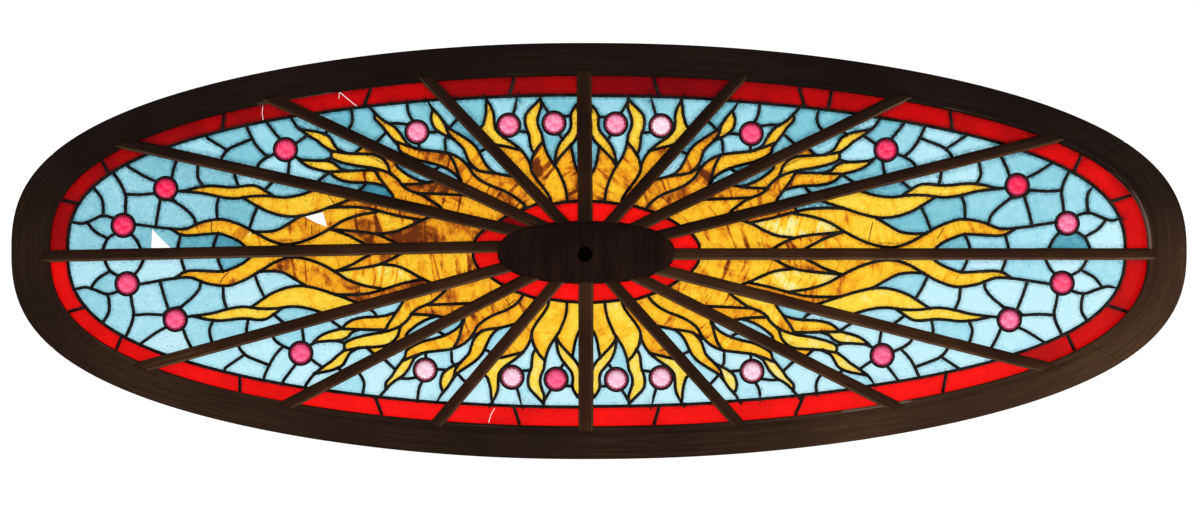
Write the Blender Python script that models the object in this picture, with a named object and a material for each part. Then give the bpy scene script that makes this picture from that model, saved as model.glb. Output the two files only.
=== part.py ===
"""A long oval stained glass skylight: a wooden frame in four felloes, a hub, sixteen glazing bars, and a
light of leaded glass between each pair of bars.

It stands upright in the XZ plane: X along its length, Z up, and the room side towards -Y. The origin is the
middle of the bottom rail's back, where it is fixed.
"""

import math

import bmesh
import bpy
from mathutils import Vector
from mathutils.geometry import delaunay_2d_cdt

GAP = 0.0003  # clearance between pieces that touch

# The frame, a squared-off oval that wavers a little, as hand-sawn felloes do
HALF_LENGTH = 1.181
HALF_HEIGHT = 0.4132
FRAME_SQUARENESS = 2.25
WAVER = ((6, -0.0061), (3, 0.0041))  # (waves round the oval, share of its size)
RAIL_WIDTH = 0.065  # at the top and bottom
END_WIDTH = 0.076  # at the two ends
FRAME_SIDES = 46
FELLOE_JOINTS = (-31.0, 30.5, 153.0, 207.0)  # degrees round from +X
JOINT_TURN = 0.0003  # half of the clearance at a felloe joint, in radians

# Depths, from the room side (-Y) to the back (0)
FRAME_FRONT = -0.055
STEP_FRONT = -0.049  # the moulded step along the frame's inner edge
STEP_WIDTH = 0.012
LIP_BACK = -0.030  # the rebate that the glass lies in starts here
REBATE = 0.012
EDGE_ROUND = 0.003
BAR_FRONT = -0.052
BAR_BACK = -0.010
HUB_FRONT = -0.058
HUB_BACK = -0.008
LEAD_FRONT = -0.0295
LEAD_BACK = -0.0273
GLASS_FRONT = -0.0270
GLASS_BACK = -0.0230

# The hub
HUB_OFFSET = Vector((-0.0212, -0.0027))  # from the frame's middle
HUB_HALF_LENGTH = 0.175
HUB_HALF_HEIGHT = 0.060
HUB_SQUARENESS = 2.3
HUB_SIDES = 26
HUB_ROUND = 0.004
HUB_LIP = 0.008
HUB_HOLE = 0.030
HUB_HOLE_DEPTH = 0.036  # it is blind: the back of the hub is whole
HUB_HOLE_OFFSET = Vector((-0.002, -0.0035))

# The glazing bars, counter-clockwise from +X: degrees round the hub, degrees round the frame
BAR_TURNS = (
    (-3.3, -1.0), (33.2, 38.2), (55.9, 58.0), (74.5, 75.4),
    (90.45, 91.3), (104.8, 107.3), (119.8, 123.9), (138.0, 144.1),
    (168.9, 181.7), (208.3, 218.9), (232.4, 237.6), (251.3, 253.7),
    (269.95, 268.9), (286.4, 284.5), (305.1, 301.2), (325.8, 320.6),
)  # fmt: skip
BAR_WIDTH = 0.0245
WIDE_BARS = (5, 13)  # the two upright ones
WIDE_BAR_WIDTH = 0.030
BAR_CHAMFER = 0.005
WEB_WIDTH = 0.006
BAR_LET_IN = 0.010  # how far a bar's end runs into the frame's inner edge
NOTCH_PLAY = 0.0008  # and the room left beyond it

# The leaded lights
LIGHT_SIDE = 0.0035  # from a bar's middle to the edge of the glass
LIGHT_COVER = 0.009  # how far the glass runs under the frame's inner edge
HUB_COVER = 0.004
LEAD_WIDTH = 0.0068
BAND_WIDTH = 0.038  # the red border, from the frame's inner edge to the middle of its lead
BAND_DRIFT = 0.005  # it is this much wider at the right end and narrower at the left
RIM_SIDES = {"long": 4, "middle": 2, "broad": 2, "upright": 2}
HUB_STEPS = {"long": 2, "middle": 1, "broad": 1, "upright": 1}
JEWEL_WIDTH = 0.0435
JEWEL_RING = 0.0040  # the came round a jewel
JEWEL_RISE = 0.007
JEWEL_TABLE = 0.62  # the flat on top, as a share of the width
JEWEL_SIDES = 8
SMOOTHNESS = 0.0042  # how far a faceted lead may stray from its curve
SOLDER_REACH = 0.012  # a lead's end this near another one meets it
BORDER_REACH = 0.045  # and one this near the border's lead runs on to it
SMALLEST_PIECE = 0.00008  # square metres; smaller gaps between leads are filled with solder

# The cartoon: the leads of the four designs, as (share of the way from hub to frame, share of the way across)
LEADS = {
    "long": (
        ((0.050, 0.0), (0.068, 1.0)),
        ((0.186, 1.0), (0.207, 0.60), (0.258, 0.365)),
        ((0.192, 0.0), (0.258, 0.355), (0.363, 0.392)),
        ((0.198, 0.815), (0.33, 0.855), (0.407, 0.765)),
        ((0.30, 0.84), (0.350, 0.57), (0.395, 0.23), (0.462, 0.103), (0.53, 0.275)),
        ((0.53, 0.275), (0.615, 0.425), (0.688, 0.285), (0.812, 0.315)),
        ((0.385, 1.0), (0.425, 0.65), (0.487, 0.545), (0.57, 0.66), (0.606, 0.715)),
        ((0.485, 1.0), (0.522, 0.80), (0.62, 0.695), (0.70, 0.705), (0.765, 0.693)),
        ((0.545, 0.79), (0.62, 0.873), (0.70, 0.795), (0.745, 0.695)),
        ((0.535, 0.0), (0.59, 0.21), (0.68, 0.205), (0.722, 0.28)),
        ((0.795, 0.78), (0.865, 1.0)),
        ((0.95, 0.478), (1.0, 0.505)),
        ((0.945, 0.765), (1.0, 0.85)),
    ),
    "middle": (
        ((0.055, 0.0), (0.09, 1.0)),
        ((0.205, 1.0), (0.292, 0.485)),
        (
            (0.165, 0.0), (0.24, 0.39), (0.32, 0.482), (0.42, 0.68),
            (0.49, 0.685), (0.57, 0.585), (0.64, 0.70),
        ),
        ((0.43, 0.685), (0.50, 0.85), (0.568, 0.90), (0.612, 0.76)),
        ((0.335, 0.83), (0.40, 0.805), (0.48, 0.89), (0.52, 1.0)),
        ((0.295, 0.0), (0.345, 0.30), (0.44, 0.56), (0.50, 0.67)),
        ((0.478, 0.655), (0.54, 0.335)),
        ((0.375, 0.39), (0.427, 0.34), (0.475, 0.24), (0.535, 0.33), (0.66, 0.42)),
        ((0.714, 0.46), (0.705, 0.29), (0.66, 0.0)),
        ((0.706, 0.31), (0.90, 0.625)),
        ((0.87, 0.385), (1.0, 0.67)),
    ),
    "broad": (
        ((0.095, 0.0), (0.138, 1.0)),
        (
            (0.114, 0.50), (0.195, 0.60), (0.31, 0.455), (0.46, 0.58),
            (0.535, 0.51), (0.575, 0.33), (0.645, 0.255),
        ),
        ((0.295, 1.0), (0.355, 0.77), (0.39, 0.60), (0.44, 0.58)),
        ((0.39, 0.60), (0.46, 0.64), (0.545, 0.74), (0.73, 0.835)),
        ((0.357, 0.77), (0.43, 0.785), (0.53, 0.865), (0.63, 0.85), (0.90, 0.88)),
        ((0.295, 0.0), (0.36, 0.26), (0.525, 0.535)),
        ((0.338, 0.19), (0.41, 0.282), (0.55, 0.13), (0.66, 0.262), (0.84, 0.435)),
        ((0.735, 0.60), (0.90, 0.75)),
        ((0.90, 0.345), (0.79, 0.16), (0.74, 0.0)),
        ((0.87, 0.40), (1.0, 0.62)),
    ),
    "upright": (
        ((0.125, 0.0), (0.145, 1.0)),
        ((0.135, 0.565), (0.26, 0.635), (0.45, 0.56), (0.66, 0.58), (0.76, 0.635), (0.88, 0.678)),
        ((0.385, 0.60), (0.455, 0.715), (0.56, 0.90), (0.68, 0.945), (0.79, 0.945)),
        ((0.395, 0.597), (0.54, 0.735), (0.63, 0.86), (0.73, 0.883), (0.815, 0.955), (0.835, 1.0)),
        ((0.385, 0.262), (0.49, 0.435), (0.555, 0.565)),
        ((0.475, 0.405), (0.60, 0.455), (0.75, 0.523), (0.85, 0.675)),
        (
            (0.13, 0.155), (0.21, 0.228), (0.35, 0.228), (0.48, 0.29),
            (0.65, 0.182), (0.75, 0.255), (0.90, 0.287),
        ),
        ((0.65, 0.34), (0.622, 0.46)),
        ((0.70, 0.76), (0.727, 0.885)),
        ((0.655, 0.0), (0.725, 0.155), (0.86, 0.285)),
        ((0.87, 0.455), (1.0, 0.55)),
    ),
}  # fmt: skip
JEWELS = {
    "long": ((0.787, 0.700), (0.831, 0.296)),
    "middle": ((0.716, 0.500),),
    "broad": ((0.685, 0.533),),
    "upright": ((0.680, 0.729), (0.677, 0.322)),
}
QUARTER = ("long", "middle", "broad", "upright")

# How far the work in a light has strayed from its design, in millimetres right and up, at these shares
# of the way along
STRAY_PLACES = (0.0, 0.25, 0.5, 0.85, 1.0)
STRAYS = {
    1: ((1, 0), (6, 1), (8, 1)), 2: ((7, 0), (4, 0), (3, -1)), 3: ((0, -2), (-2, -4), (-4, -5)),
    4: ((4, 2), (2, -1), (1, -2)), 5: ((-1, 3), (0, 1), (0, 0)), 6: ((-12, 4), (-6, 1), (-3, 0)),
    7: ((-28, 8), (-17, 6), (-10, 2)), 8: ((-22, 0), (-20, 2), (-12, 1)), 9: ((-8, 2), (-8, -1), (-8, -1)),
    10: ((-1, 1), (1, 1), (0, 1)), 11: ((1, 2), (1, 3), (3, 3)), 12: ((1, 1), (0, 1), (-1, 1)),
    13: ((2, 0), (1, 0), (1, 1)), 14: ((6, -1), (3, 1), (3, 1)), 15: ((13, -3), (8, -2), (6, -1)),
    16: ((3, 1), (3, 1), (1, 1)),
}  # fmt: skip

# Pieces of glass that are gone: the light, and the corners as in the cartoon
LOST_GLASS = {
    8: (
        ((0.714, 0.05), (0.762, 0.055), (0.764, 0.27), (0.740, 0.165)),
        ((0.374, 0.435), (0.402, 0.485), (0.438, 0.57), (0.408, 0.675)),
    ),
}

# What each material looks like: colour, roughness, metallic, alpha
MATERIALS = {
    "dark stained oak": ((0.020, 0.011, 0.007), 0.55, 0.0, 1.0),
    "stained bar oak": ((0.024, 0.013, 0.008), 0.5, 0.0, 1.0),
    "cathedral glass": ((0.80, 0.36, 0.05), 0.2, 0.0, 0.75),
    "lead came": ((0.035, 0.037, 0.040), 0.5, 0.9, 1.0),
}


def clear_scene():
    for thing in list(bpy.data.objects):
        bpy.data.objects.remove(thing, do_unlink=True)


def material(name):
    if name in bpy.data.materials:
        return bpy.data.materials[name]
    color, roughness, metallic, alpha = MATERIALS[name]
    made = bpy.data.materials.new(name)
    made.use_nodes = True
    shader = made.node_tree.nodes["Principled BSDF"]
    shader.inputs["Base Color"].default_value = (*color, 1.0)
    shader.inputs["Roughness"].default_value = roughness
    shader.inputs["Metallic"].default_value = metallic
    shader.inputs["Alpha"].default_value = alpha
    return made


def add_object(name, bm, made_of=None):
    """The bmesh as a named object, with its faces turned outwards."""
    bmesh.ops.recalc_face_normals(bm, faces=bm.faces)
    mesh = bpy.data.meshes.new(name)
    bm.to_mesh(mesh)
    bm.free()
    thing = bpy.data.objects.new(name, mesh)
    bpy.context.scene.collection.objects.link(thing)
    if made_of:
        mesh.materials.append(material(made_of))
    return thing


def cut(thing, cutter):
    cutter.hide_render = True
    cutter.display_type = "WIRE"
    boolean = thing.modifiers.new(cutter.name, "BOOLEAN")
    boolean.operation = "DIFFERENCE"
    boolean.solver = "EXACT"
    boolean.object = cutter


class Oval:
    """A squared-off oval, which may waver."""

    def __init__(self, middle, half_length, half_height, squareness, waver=()):
        self.middle = middle
        self.half_length = half_length
        self.half_height = half_height
        self.squareness = squareness
        self.waver = waver

    def inset(self, by, by_ends=None):
        """The oval drawn in, further at its two ends where they are wider."""
        return Oval(
            self.middle,
            self.half_length - (by if by_ends is None else by_ends),
            self.half_height - by,
            self.squareness,
            self.waver,
        )

    def reach(self, turn):
        n = self.squareness
        square = (abs(math.cos(turn)) ** n + abs(math.sin(turn)) ** n) ** (-1 / n)
        return square * (1 + sum(share * math.cos(waves * turn) for waves, share in self.waver))

    def point(self, turn):
        reach = self.reach(turn)
        return self.middle + Vector(
            (self.half_length * reach * math.cos(turn), self.half_height * reach * math.sin(turn))
        )

    def turn(self, point):
        """The turn at which a point lies."""
        x, z = point - self.middle
        return math.atan2(z / self.half_height, x / self.half_length)

    def holds(self, point):
        turn = self.turn(point)
        return (point - self.middle).length < (self.point(turn) - self.middle).length

    def crossing(self, start, direction, longest=1.5):
        """How far along the line it leaves the oval."""
        inside, outside = 0.0, longest
        for _ in range(40):
            middle = (inside + outside) / 2
            if self.holds(start + middle * direction):
                inside = middle
            else:
                outside = middle
        return inside


FRAME_MIDDLE = Vector((0.0, 0.0))
FRAME = Oval(FRAME_MIDDLE, HALF_LENGTH, HALF_HEIGHT, FRAME_SQUARENESS, WAVER)
MOUNT_DROP = -FRAME.inset(RAIL_WIDTH / 2).point(math.radians(270)).y
FRAME.middle.y = MOUNT_DROP  # the frame's middle stands this high above the origin
END_SHARE = END_WIDTH / RAIL_WIDTH


def frame_inset(by):
    """The frame's outline drawn in, so that RAIL_WIDTH gives its inner edge."""
    return FRAME.inset(by, by * END_SHARE)


LIP = frame_inset(RAIL_WIDTH)
HUB = Oval(FRAME.middle + HUB_OFFSET, HUB_HALF_LENGTH, HUB_HALF_HEIGHT, HUB_SQUARENESS)


def in_space(point, depth):
    return Vector((point.x, depth, point.y))


def swept(loops, closed):
    """Quads between loops of points in space, with the two ends capped, or joined up when closed."""
    bm = bmesh.new()
    rings = [[bm.verts.new(point) for point in loop] for loop in loops]
    pairs = list(zip(rings, rings[1:]))
    if closed:
        pairs.append((rings[-1], rings[0]))
    for a, b in pairs:
        for i in range(len(a)):
            j = (i + 1) % len(a)
            bm.faces.new((a[i], a[j], b[j], b[i]))
    if not closed:
        bm.faces.new(rings[0])
        bm.faces.new(list(reversed(rings[-1])))
    return bm


# Frame


def frame_profile():
    """(inset, depth) round the frame's section, from the outer edge at the back."""
    step = RAIL_WIDTH - STEP_WIDTH
    return (
        (0.0, 0.0),
        (0.0, FRAME_FRONT + EDGE_ROUND),
        (EDGE_ROUND, FRAME_FRONT),
        (step - 0.002, FRAME_FRONT),
        (step, STEP_FRONT),
        (RAIL_WIDTH - EDGE_ROUND, STEP_FRONT - 0.001),
        (RAIL_WIDTH, STEP_FRONT + EDGE_ROUND),
        (RAIL_WIDTH, LIP_BACK),
        (RAIL_WIDTH - REBATE, LIP_BACK),
        (RAIL_WIDTH - REBATE, 0.0),
    )


def notch(bar):
    """The housing that a bar's end lies in, as a cutter."""
    half = bar.width / 2 + GAP
    bottom = frame_inset(RAIL_WIDTH - BAR_LET_IN - NOTCH_PLAY)
    corners = []
    for side in (-half, half):
        start = bar.at(0.0, side)
        far = bottom.crossing(start, bar.direction)
        corners.append((start + far * bar.direction, start + (far - 0.06) * bar.direction))
    outline = (corners[0][0], corners[1][0], corners[1][1], corners[0][1])
    return [[in_space(point, depth) for point in outline] for depth in (-0.07, LIP_BACK + 0.002)]


def felloe(name, first, last, bars):
    """One sawn piece of the frame, between two joints."""
    start, end = math.radians(first) + JOINT_TURN, math.radians(last) - JOINT_TURN
    count = max(4, round((end - start) / math.tau * FRAME_SIDES))
    profile = frame_profile()
    loops = []
    for i in range(count + 1):
        turn = start + (end - start) * i / count
        loops.append([in_space(frame_inset(by).point(turn), depth) for by, depth in profile])
    piece = add_object(name, swept(loops, closed=False), "dark stained oak")
    notches = bmesh.new()
    for bar in bars:
        if start < bar.rim_turn < end or start < bar.rim_turn + math.tau < end:
            mesh = bpy.data.meshes.new("notch")
            one = swept(notch(bar), closed=False)
            one.to_mesh(mesh)
            one.free()
            notches.from_mesh(mesh)
            bpy.data.meshes.remove(mesh)
    cut(piece, add_object(name + "_notches", notches))


# Hub and bars


def hub_shape(clearance=0.0):
    """The hub's solid, or, with a clearance, the room that the bars leave for it."""
    loops = []
    for inset, depth in (
        (HUB_LIP, HUB_BACK + clearance),
        (HUB_LIP, LIP_BACK + clearance),
        (0.0, LIP_BACK + clearance),
        (0.0, HUB_FRONT + HUB_ROUND),
        (HUB_ROUND * 0.3, HUB_FRONT + HUB_ROUND * 0.3),
        (HUB_ROUND, HUB_FRONT),
    ):
        outline = HUB.inset(inset - clearance)
        turns = [math.tau * i / HUB_SIDES for i in range(HUB_SIDES)]
        loops.append([in_space(outline.point(turn), depth) for turn in turns])
    return swept(loops, closed=False)


def hub_block():
    block = add_object("hub", hub_shape(), "dark stained oak")
    bore = Oval(HUB.middle + HUB_HOLE_OFFSET, HUB_HOLE / 2, HUB_HOLE / 2, 2)
    circle = [bore.point(math.tau * i / 20) for i in range(20)]
    depths = (HUB_FRONT - 0.01, HUB_FRONT + HUB_HOLE_DEPTH)
    ends = [[in_space(point, depth) for point in circle] for depth in depths]
    cut(block, add_object("hub_bore", swept(ends, closed=False)))


class Bar:
    """A glazing bar's middle line, from the hub to the frame's inner edge."""

    def __init__(self, hub_degrees, rim_degrees, width):
        self.width = width
        self.hub_turn = math.radians(hub_degrees)
        self.rim_turn = math.radians(rim_degrees)
        self.start = HUB.point(self.hub_turn)
        run = LIP.point(self.rim_turn) - self.start
        self.length = run.length
        self.direction = run.normalized()
        self.across = Vector((-self.direction.y, self.direction.x))

    def at(self, along, side):
        """A point near the bar: `along` from a place inside the hub, and to one side of the middle."""
        inner = self.start - 0.03 * self.direction
        return inner + along * self.direction + side * self.across

    def run(self, side, near, far):
        """Where a line along the bar leaves the near oval and reaches the far one."""
        start = self.at(0.0, side)
        near_end = near.crossing(start, self.direction, 0.2)
        far_end = far.crossing(start, self.direction)
        return start + near_end * self.direction, start + far_end * self.direction


def glazing_bar(name, bar, hub_room):
    """A T-shaped bar, let into the frame and scribed to the hub."""
    half, web = bar.width / 2, WEB_WIDTH / 2
    section = (
        (-half, LIP_BACK),
        (-half, BAR_FRONT + BAR_CHAMFER),
        (-half + BAR_CHAMFER, BAR_FRONT),
        (half - BAR_CHAMFER, BAR_FRONT),
        (half, BAR_FRONT + BAR_CHAMFER),
        (half, LIP_BACK),
        (web, LIP_BACK),
        (web, BAR_BACK),
        (-web, BAR_BACK),
        (-web, LIP_BACK),
    )
    far = frame_inset(RAIL_WIDTH - BAR_LET_IN)
    near_loop = [in_space(bar.at(0.0, side), depth) for side, depth in section]
    far_loop = [in_space(bar.run(side, HUB, far)[1], depth) for side, depth in section]
    piece = add_object(name, swept([near_loop, far_loop], closed=False), "stained bar oak")
    cut(piece, hub_room)


# Leaded lights


class Light:
    """The opening between two bars.

    Its places are shares of the way from hub to frame and from bar to bar.
    """

    def __init__(self, first, second, design, mirrored, strays):
        self.first = first
        self.second = second
        self.design = design
        self.mirrored = mirrored
        self.strays = strays
        self.hub_span = (second.hub_turn - first.hub_turn) % math.tau
        self.rim_span = (second.rim_turn - first.rim_turn) % math.tau
        self.inside = LIP.inset(BAND_WIDTH + BAND_DRIFT * math.cos(self.rim_turn(0.5)))

    def hub_turn(self, across):
        return self.first.hub_turn + across * self.hub_span

    def rim_turn(self, across):
        return self.first.rim_turn + across * self.rim_span

    def place(self, along, across):
        """The design's place with its stray, which keeps to the bar's own direction beside a bar."""
        if self.mirrored:
            across = 1 - across
        near = HUB.point(self.hub_turn(across))
        far = LIP.point(self.rim_turn(across))
        moved = self.stray_at(along)
        bar = self.first if across < 0.5 else self.second
        share = max(0.0, min(1.0, 6 * across, 6 * (1 - across)))
        return near.lerp(far, along) + share * moved + (1 - share) * moved.dot(bar.direction) * bar.direction

    def stray_at(self, along):
        moves = [Vector((0, 0)), *[Vector(move) / 1000 for move in self.strays], Vector((0, 0))]
        spans = list(zip(STRAY_PLACES, STRAY_PLACES[1:], moves, moves[1:]))
        start, end, before, after = next(span for span in spans if along <= span[1])
        return before.lerp(after, (along - start) / (end - start))

    def outline(self, margin=0.0):
        """The edge of the glass, counter-clockwise, drawn in by a margin."""
        near = HUB.inset(HUB_COVER - margin)
        far = frame_inset(RAIL_WIDTH - LIGHT_COVER + margin)
        side = LIGHT_SIDE + margin
        low = self.first.run(side, near, far)
        high = self.second.run(-side, near, far)
        sides = RIM_SIDES[self.design]
        rim = [far.point(self.rim_turn(i / sides)) for i in range(1, sides)]
        steps = HUB_STEPS[self.design]
        hub = [near.point(self.hub_turn(1 - i / steps)) for i in range(1, steps)]
        return [low[0], low[1], *rim, high[1], high[0], *hub]

    def border(self, steps=12):
        """The middle of the border's lead, from bar to bar."""
        edges = [bar.run(0.0, HUB, self.inside)[1] for bar in (self.first, self.second)]
        ends = [self.inside.turn(edge) for edge in edges]
        span = (ends[1] - ends[0]) % math.tau
        return [self.inside.point(ends[0] + span * i / steps) for i in range(steps + 1)]

    def to_border(self, before, end, from_frame):
        """Where a lead through these two points meets the border's lead, if that is near its end."""
        ahead = (end - before).normalized()
        start = end - 0.08 * ahead
        if from_frame:
            start, ahead = end + 0.05 * ahead, -ahead
        place = start + self.inside.crossing(start, ahead, 0.3) * ahead
        return place if (place - end).length < BORDER_REACH else end


def smooth(points, steps=10):
    """A curve through the points."""
    if len(points) == 2:
        return list(points)
    ends = [2 * points[0] - points[1], *points, 2 * points[-1] - points[-2]]
    curve = []
    for a, b, c, d in zip(ends, ends[1:], ends[2:], ends[3:]):
        for i in range(steps):
            t = i / steps
            rise = (c - a) * t + (2 * a - 5 * b + 4 * c - d) * t**2 + (3 * b - a - 3 * c + d) * t**3
            curve.append(b + 0.5 * rise)
    return [*curve, points[-1]]


def simplified(points, tolerance):
    """The fewest of these points that keep the line within the tolerance."""
    run = (points[-1] - points[0]).normalized()
    aside = [abs(run.cross(point - points[0])) for point in points]
    worst = max(range(len(points)), key=aside.__getitem__)
    if len(points) < 3 or aside[worst] < tolerance:
        return [points[0], points[-1]]
    return simplified(points[: worst + 1], tolerance)[:-1] + simplified(points[worst:], tolerance)


def strip(line, width):
    """Quads along a line, mitred where they meet, each counter-clockwise."""
    edges = []
    for i, point in enumerate(line):
        before = (point - line[i - 1]).normalized() if i else None
        after = (line[i + 1] - point).normalized() if i + 1 < len(line) else None
        along = ((before or after) + (after or before)).normalized()
        lean = max(0.6, along.dot(after or before))
        aside = Vector((-along.y, along.x)) * (width / 2 / lean)
        edges.append((point - aside, point + aside))
    return [(a[0], b[0], b[1], a[1]) for a, b in zip(edges, edges[1:])]


def ring(middle, radius):
    return [
        middle + radius * Vector((math.cos(math.tau * i / JEWEL_SIDES), math.sin(math.tau * i / JEWEL_SIDES)))
        for i in range(JEWEL_SIDES)
    ]


NOTHING, SHEET, JEWEL = 0, 1, 2  # what a triangle of the plane becomes


def covers(polygon, point):
    crossed = 0
    for a, b in zip(polygon, [*polygon[1:], polygon[0]]):
        if (a.y > point.y) != (b.y > point.y):
            crossed += point.x < a.x + (point.y - a.y) / (b.y - a.y) * (b.x - a.x)
    return crossed % 2 == 1


def flat_pieces(polygons, kind):
    """The first polygon cut along all the others' edges, each triangle of a kind by what lies over it."""
    points, faces = [], []
    for polygon in polygons:
        faces.append(list(range(len(points), len(points) + len(polygon))))
        points.extend(polygon)
    spots, _, triangles, *_ = delaunay_2d_cdt(points, [], faces, 1, 1e-6)
    pieces = []
    for tri in triangles:
        middle = sum((spots[i] for i in tri), Vector((0, 0))) / 3
        over = {i for i, polygon in enumerate(polygons) if covers(polygon, middle)}
        if 0 in over:
            pieces.append((tri, kind(over)))
    return spots, pieces


def fill_slivers(spots, triangles):
    """Gaps between leads that are too small for a piece of glass become solder."""
    gaps = [i for i, (_, kept) in enumerate(triangles) if not kept]
    sides = {}
    for i in gaps:
        tri = triangles[i][0]
        for j in range(3):
            sides.setdefault(frozenset((tri[j - 1], tri[j])), []).append(i)
    seen = set()
    filled = list(triangles)
    for i in gaps:
        if i in seen:
            continue
        group, queue = [], [i]
        seen.add(i)
        while queue:
            now = queue.pop()
            group.append(now)
            corners = triangles[now][0]
            for j in range(3):
                for other in sides[frozenset((corners[j - 1], corners[j]))]:
                    if other not in seen:
                        seen.add(other)
                        queue.append(other)
        area = 0.0
        for one in group:
            a, b, c = (spots[k] for k in triangles[one][0])
            area += abs((b - a).cross(c - a)) / 2
        if area < SMALLEST_PIECE:
            for one in group:
                filled[one] = (triangles[one][0], SHEET)
    return filled


def plate(spots, triangles, front, back):
    """A flat sheet of the kept triangles, as thick as the two depths are apart."""
    bm = bmesh.new()
    used = sorted({i for tri, kept in triangles if kept for i in tri})
    verts = {i: bm.verts.new(in_space(spots[i], front)) for i in used}
    for tri, kept in triangles:
        if kept:
            bm.faces.new([verts[i] for i in tri]).material_index = kept - SHEET
    bm.normal_update()
    bmesh.ops.dissolve_limit(
        bm, angle_limit=0.002, verts=bm.verts[:], edges=bm.edges[:], delimit={"MATERIAL"}
    )
    made = bmesh.ops.extrude_face_region(bm, geom=bm.faces[:])
    moved = [thing for thing in made["geom"] if isinstance(thing, bmesh.types.BMVert)]
    bmesh.ops.translate(bm, verts=moved, vec=(0, back - front, 0))
    return bm


def nearest(line, point):
    """The place on a line that is nearest to a point."""
    places = []
    for a, b in zip(line, line[1:]):
        share = (point - a).dot(b - a) / (b - a).length_squared
        places.append(a.lerp(b, min(1.0, max(0.0, share))))
    return min(places, key=lambda place: (place - point).length)


def lead_lines(light):
    """The middle lines of a light's leads, the border's lead first.

    Each end is brought to the lead that it meets.
    """
    leads = LEADS[light.design]
    lines = [light.border()] + [smooth([light.place(*spot) for spot in lead]) for lead in leads]
    for lead, line in zip(leads, lines[1:]):
        for end, before in ((0, 1), (-1, -2)):
            if lead[end][1] in (0, 1) or lead[end][0] == 1:
                continue
            places = [nearest(other, line[end]) for other in lines if other is not line]
            place = min(places, key=lambda at: (at - line[end]).length)
            if (place - line[end]).length > SOLDER_REACH:
                place = light.to_border(line[before], line[end], lead[before][0] == 1)
            line[end] = place
    return [simplified(line, SMOOTHNESS) for line in lines]


def lead_net(name, light):
    """All the cames of a light, soldered into one net, with one that runs round its edge."""
    edge = light.outline()
    inner = light.outline(0.007)
    jewels = [ring(light.place(*spot), JEWEL_WIDTH / 2 + GAP) for spot in JEWELS[light.design]]
    rings = [ring(light.place(*spot), JEWEL_WIDTH / 2 + JEWEL_RING) for spot in JEWELS[light.design]]
    strips = [quad for line in lead_lines(light) for quad in strip(line, LEAD_WIDTH)]
    polygons = [edge, inner, *jewels, *rings, *strips]
    holes = set(range(2, 2 + len(jewels)))
    cames = set(range(2 + len(jewels), len(polygons)))

    def is_lead(over):
        return SHEET if not over & holes and (1 not in over or over & cames) else NOTHING

    spots, triangles = flat_pieces(polygons, is_lead)
    triangles = fill_slivers(spots, triangles)
    add_object(name, plate(spots, triangles, LEAD_FRONT, LEAD_BACK), "lead came")


def raise_jewels(bm):
    """Lifts the parts of the sheet marked as jewels into faceted studs."""
    marked = [face for face in bm.faces if face.material_index]
    jewels = [face for face in marked if face.calc_center_median().y < GLASS_FRONT + GAP]
    for top in bmesh.ops.extrude_discrete_faces(bm, faces=jewels)["faces"]:
        middle = top.calc_center_median()
        for vert in top.verts:
            vert.co = middle + JEWEL_TABLE * (vert.co - middle) + Vector((0, -JEWEL_RISE, 0))
    for face in bm.faces:
        face.material_index = 0


def glass_sheet(name, light, lost):
    """The glass of a light as one sheet, with its jewels raised and its lost pieces open."""
    gone = [[light.place(*spot) for spot in corners] for corners in lost]
    gone = [corners if is_counter_clockwise(corners) else corners[::-1] for corners in gone]
    jewels = [ring(light.place(*spot), JEWEL_WIDTH / 2) for spot in JEWELS[light.design]]
    polygons = [light.outline(), *gone, *jewels]
    open_places = set(range(1, 1 + len(gone)))
    studs = set(range(1 + len(gone), len(polygons)))

    def glass_kind(over):
        return NOTHING if over & open_places else JEWEL if over & studs else SHEET

    spots, triangles = flat_pieces(polygons, glass_kind)
    bm = plate(spots, triangles, GLASS_FRONT, GLASS_BACK)
    raise_jewels(bm)
    add_object(name, bm, "cathedral glass")


def is_counter_clockwise(corners):
    return sum(a.cross(b) for a, b in zip(corners, corners[1:] + corners[:1])) > 0


def build():
    clear_scene()
    bars = []
    for i, turns in enumerate(BAR_TURNS):
        bars.append(Bar(*turns, WIDE_BAR_WIDTH if i + 1 in WIDE_BARS else BAR_WIDTH))
    names = ("frame_right", "frame_top", "frame_left", "frame_bottom")
    joints = [*FELLOE_JOINTS, FELLOE_JOINTS[0] + 360]
    for name, first, last in zip(names, joints, joints[1:]):
        felloe(name, first, last, bars)
    hub_block()
    hub_room = add_object("hub_room", hub_shape(GAP))
    for i, bar in enumerate(bars):
        glazing_bar(f"bar_{i + 1:02d}", bar, hub_room)
        step = i % 8
        mirrored = step > 3
        design = QUARTER[7 - step if mirrored else step]
        light = Light(bar, bars[(i + 1) % len(bars)], design, mirrored, STRAYS[i + 1])
        glass_sheet(f"glass_{i + 1:02d}", light, LOST_GLASS.get(i + 1, ()))
        lead_net(f"lead_{i + 1:02d}", light)


build()
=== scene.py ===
import math
import random
from functools import partial

import bmesh
import bpy
import numpy as np
from mathutils import Matrix, Vector
from mathutils.geometry import delaunay_2d_cdt, intersect_point_tri_2d


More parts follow.
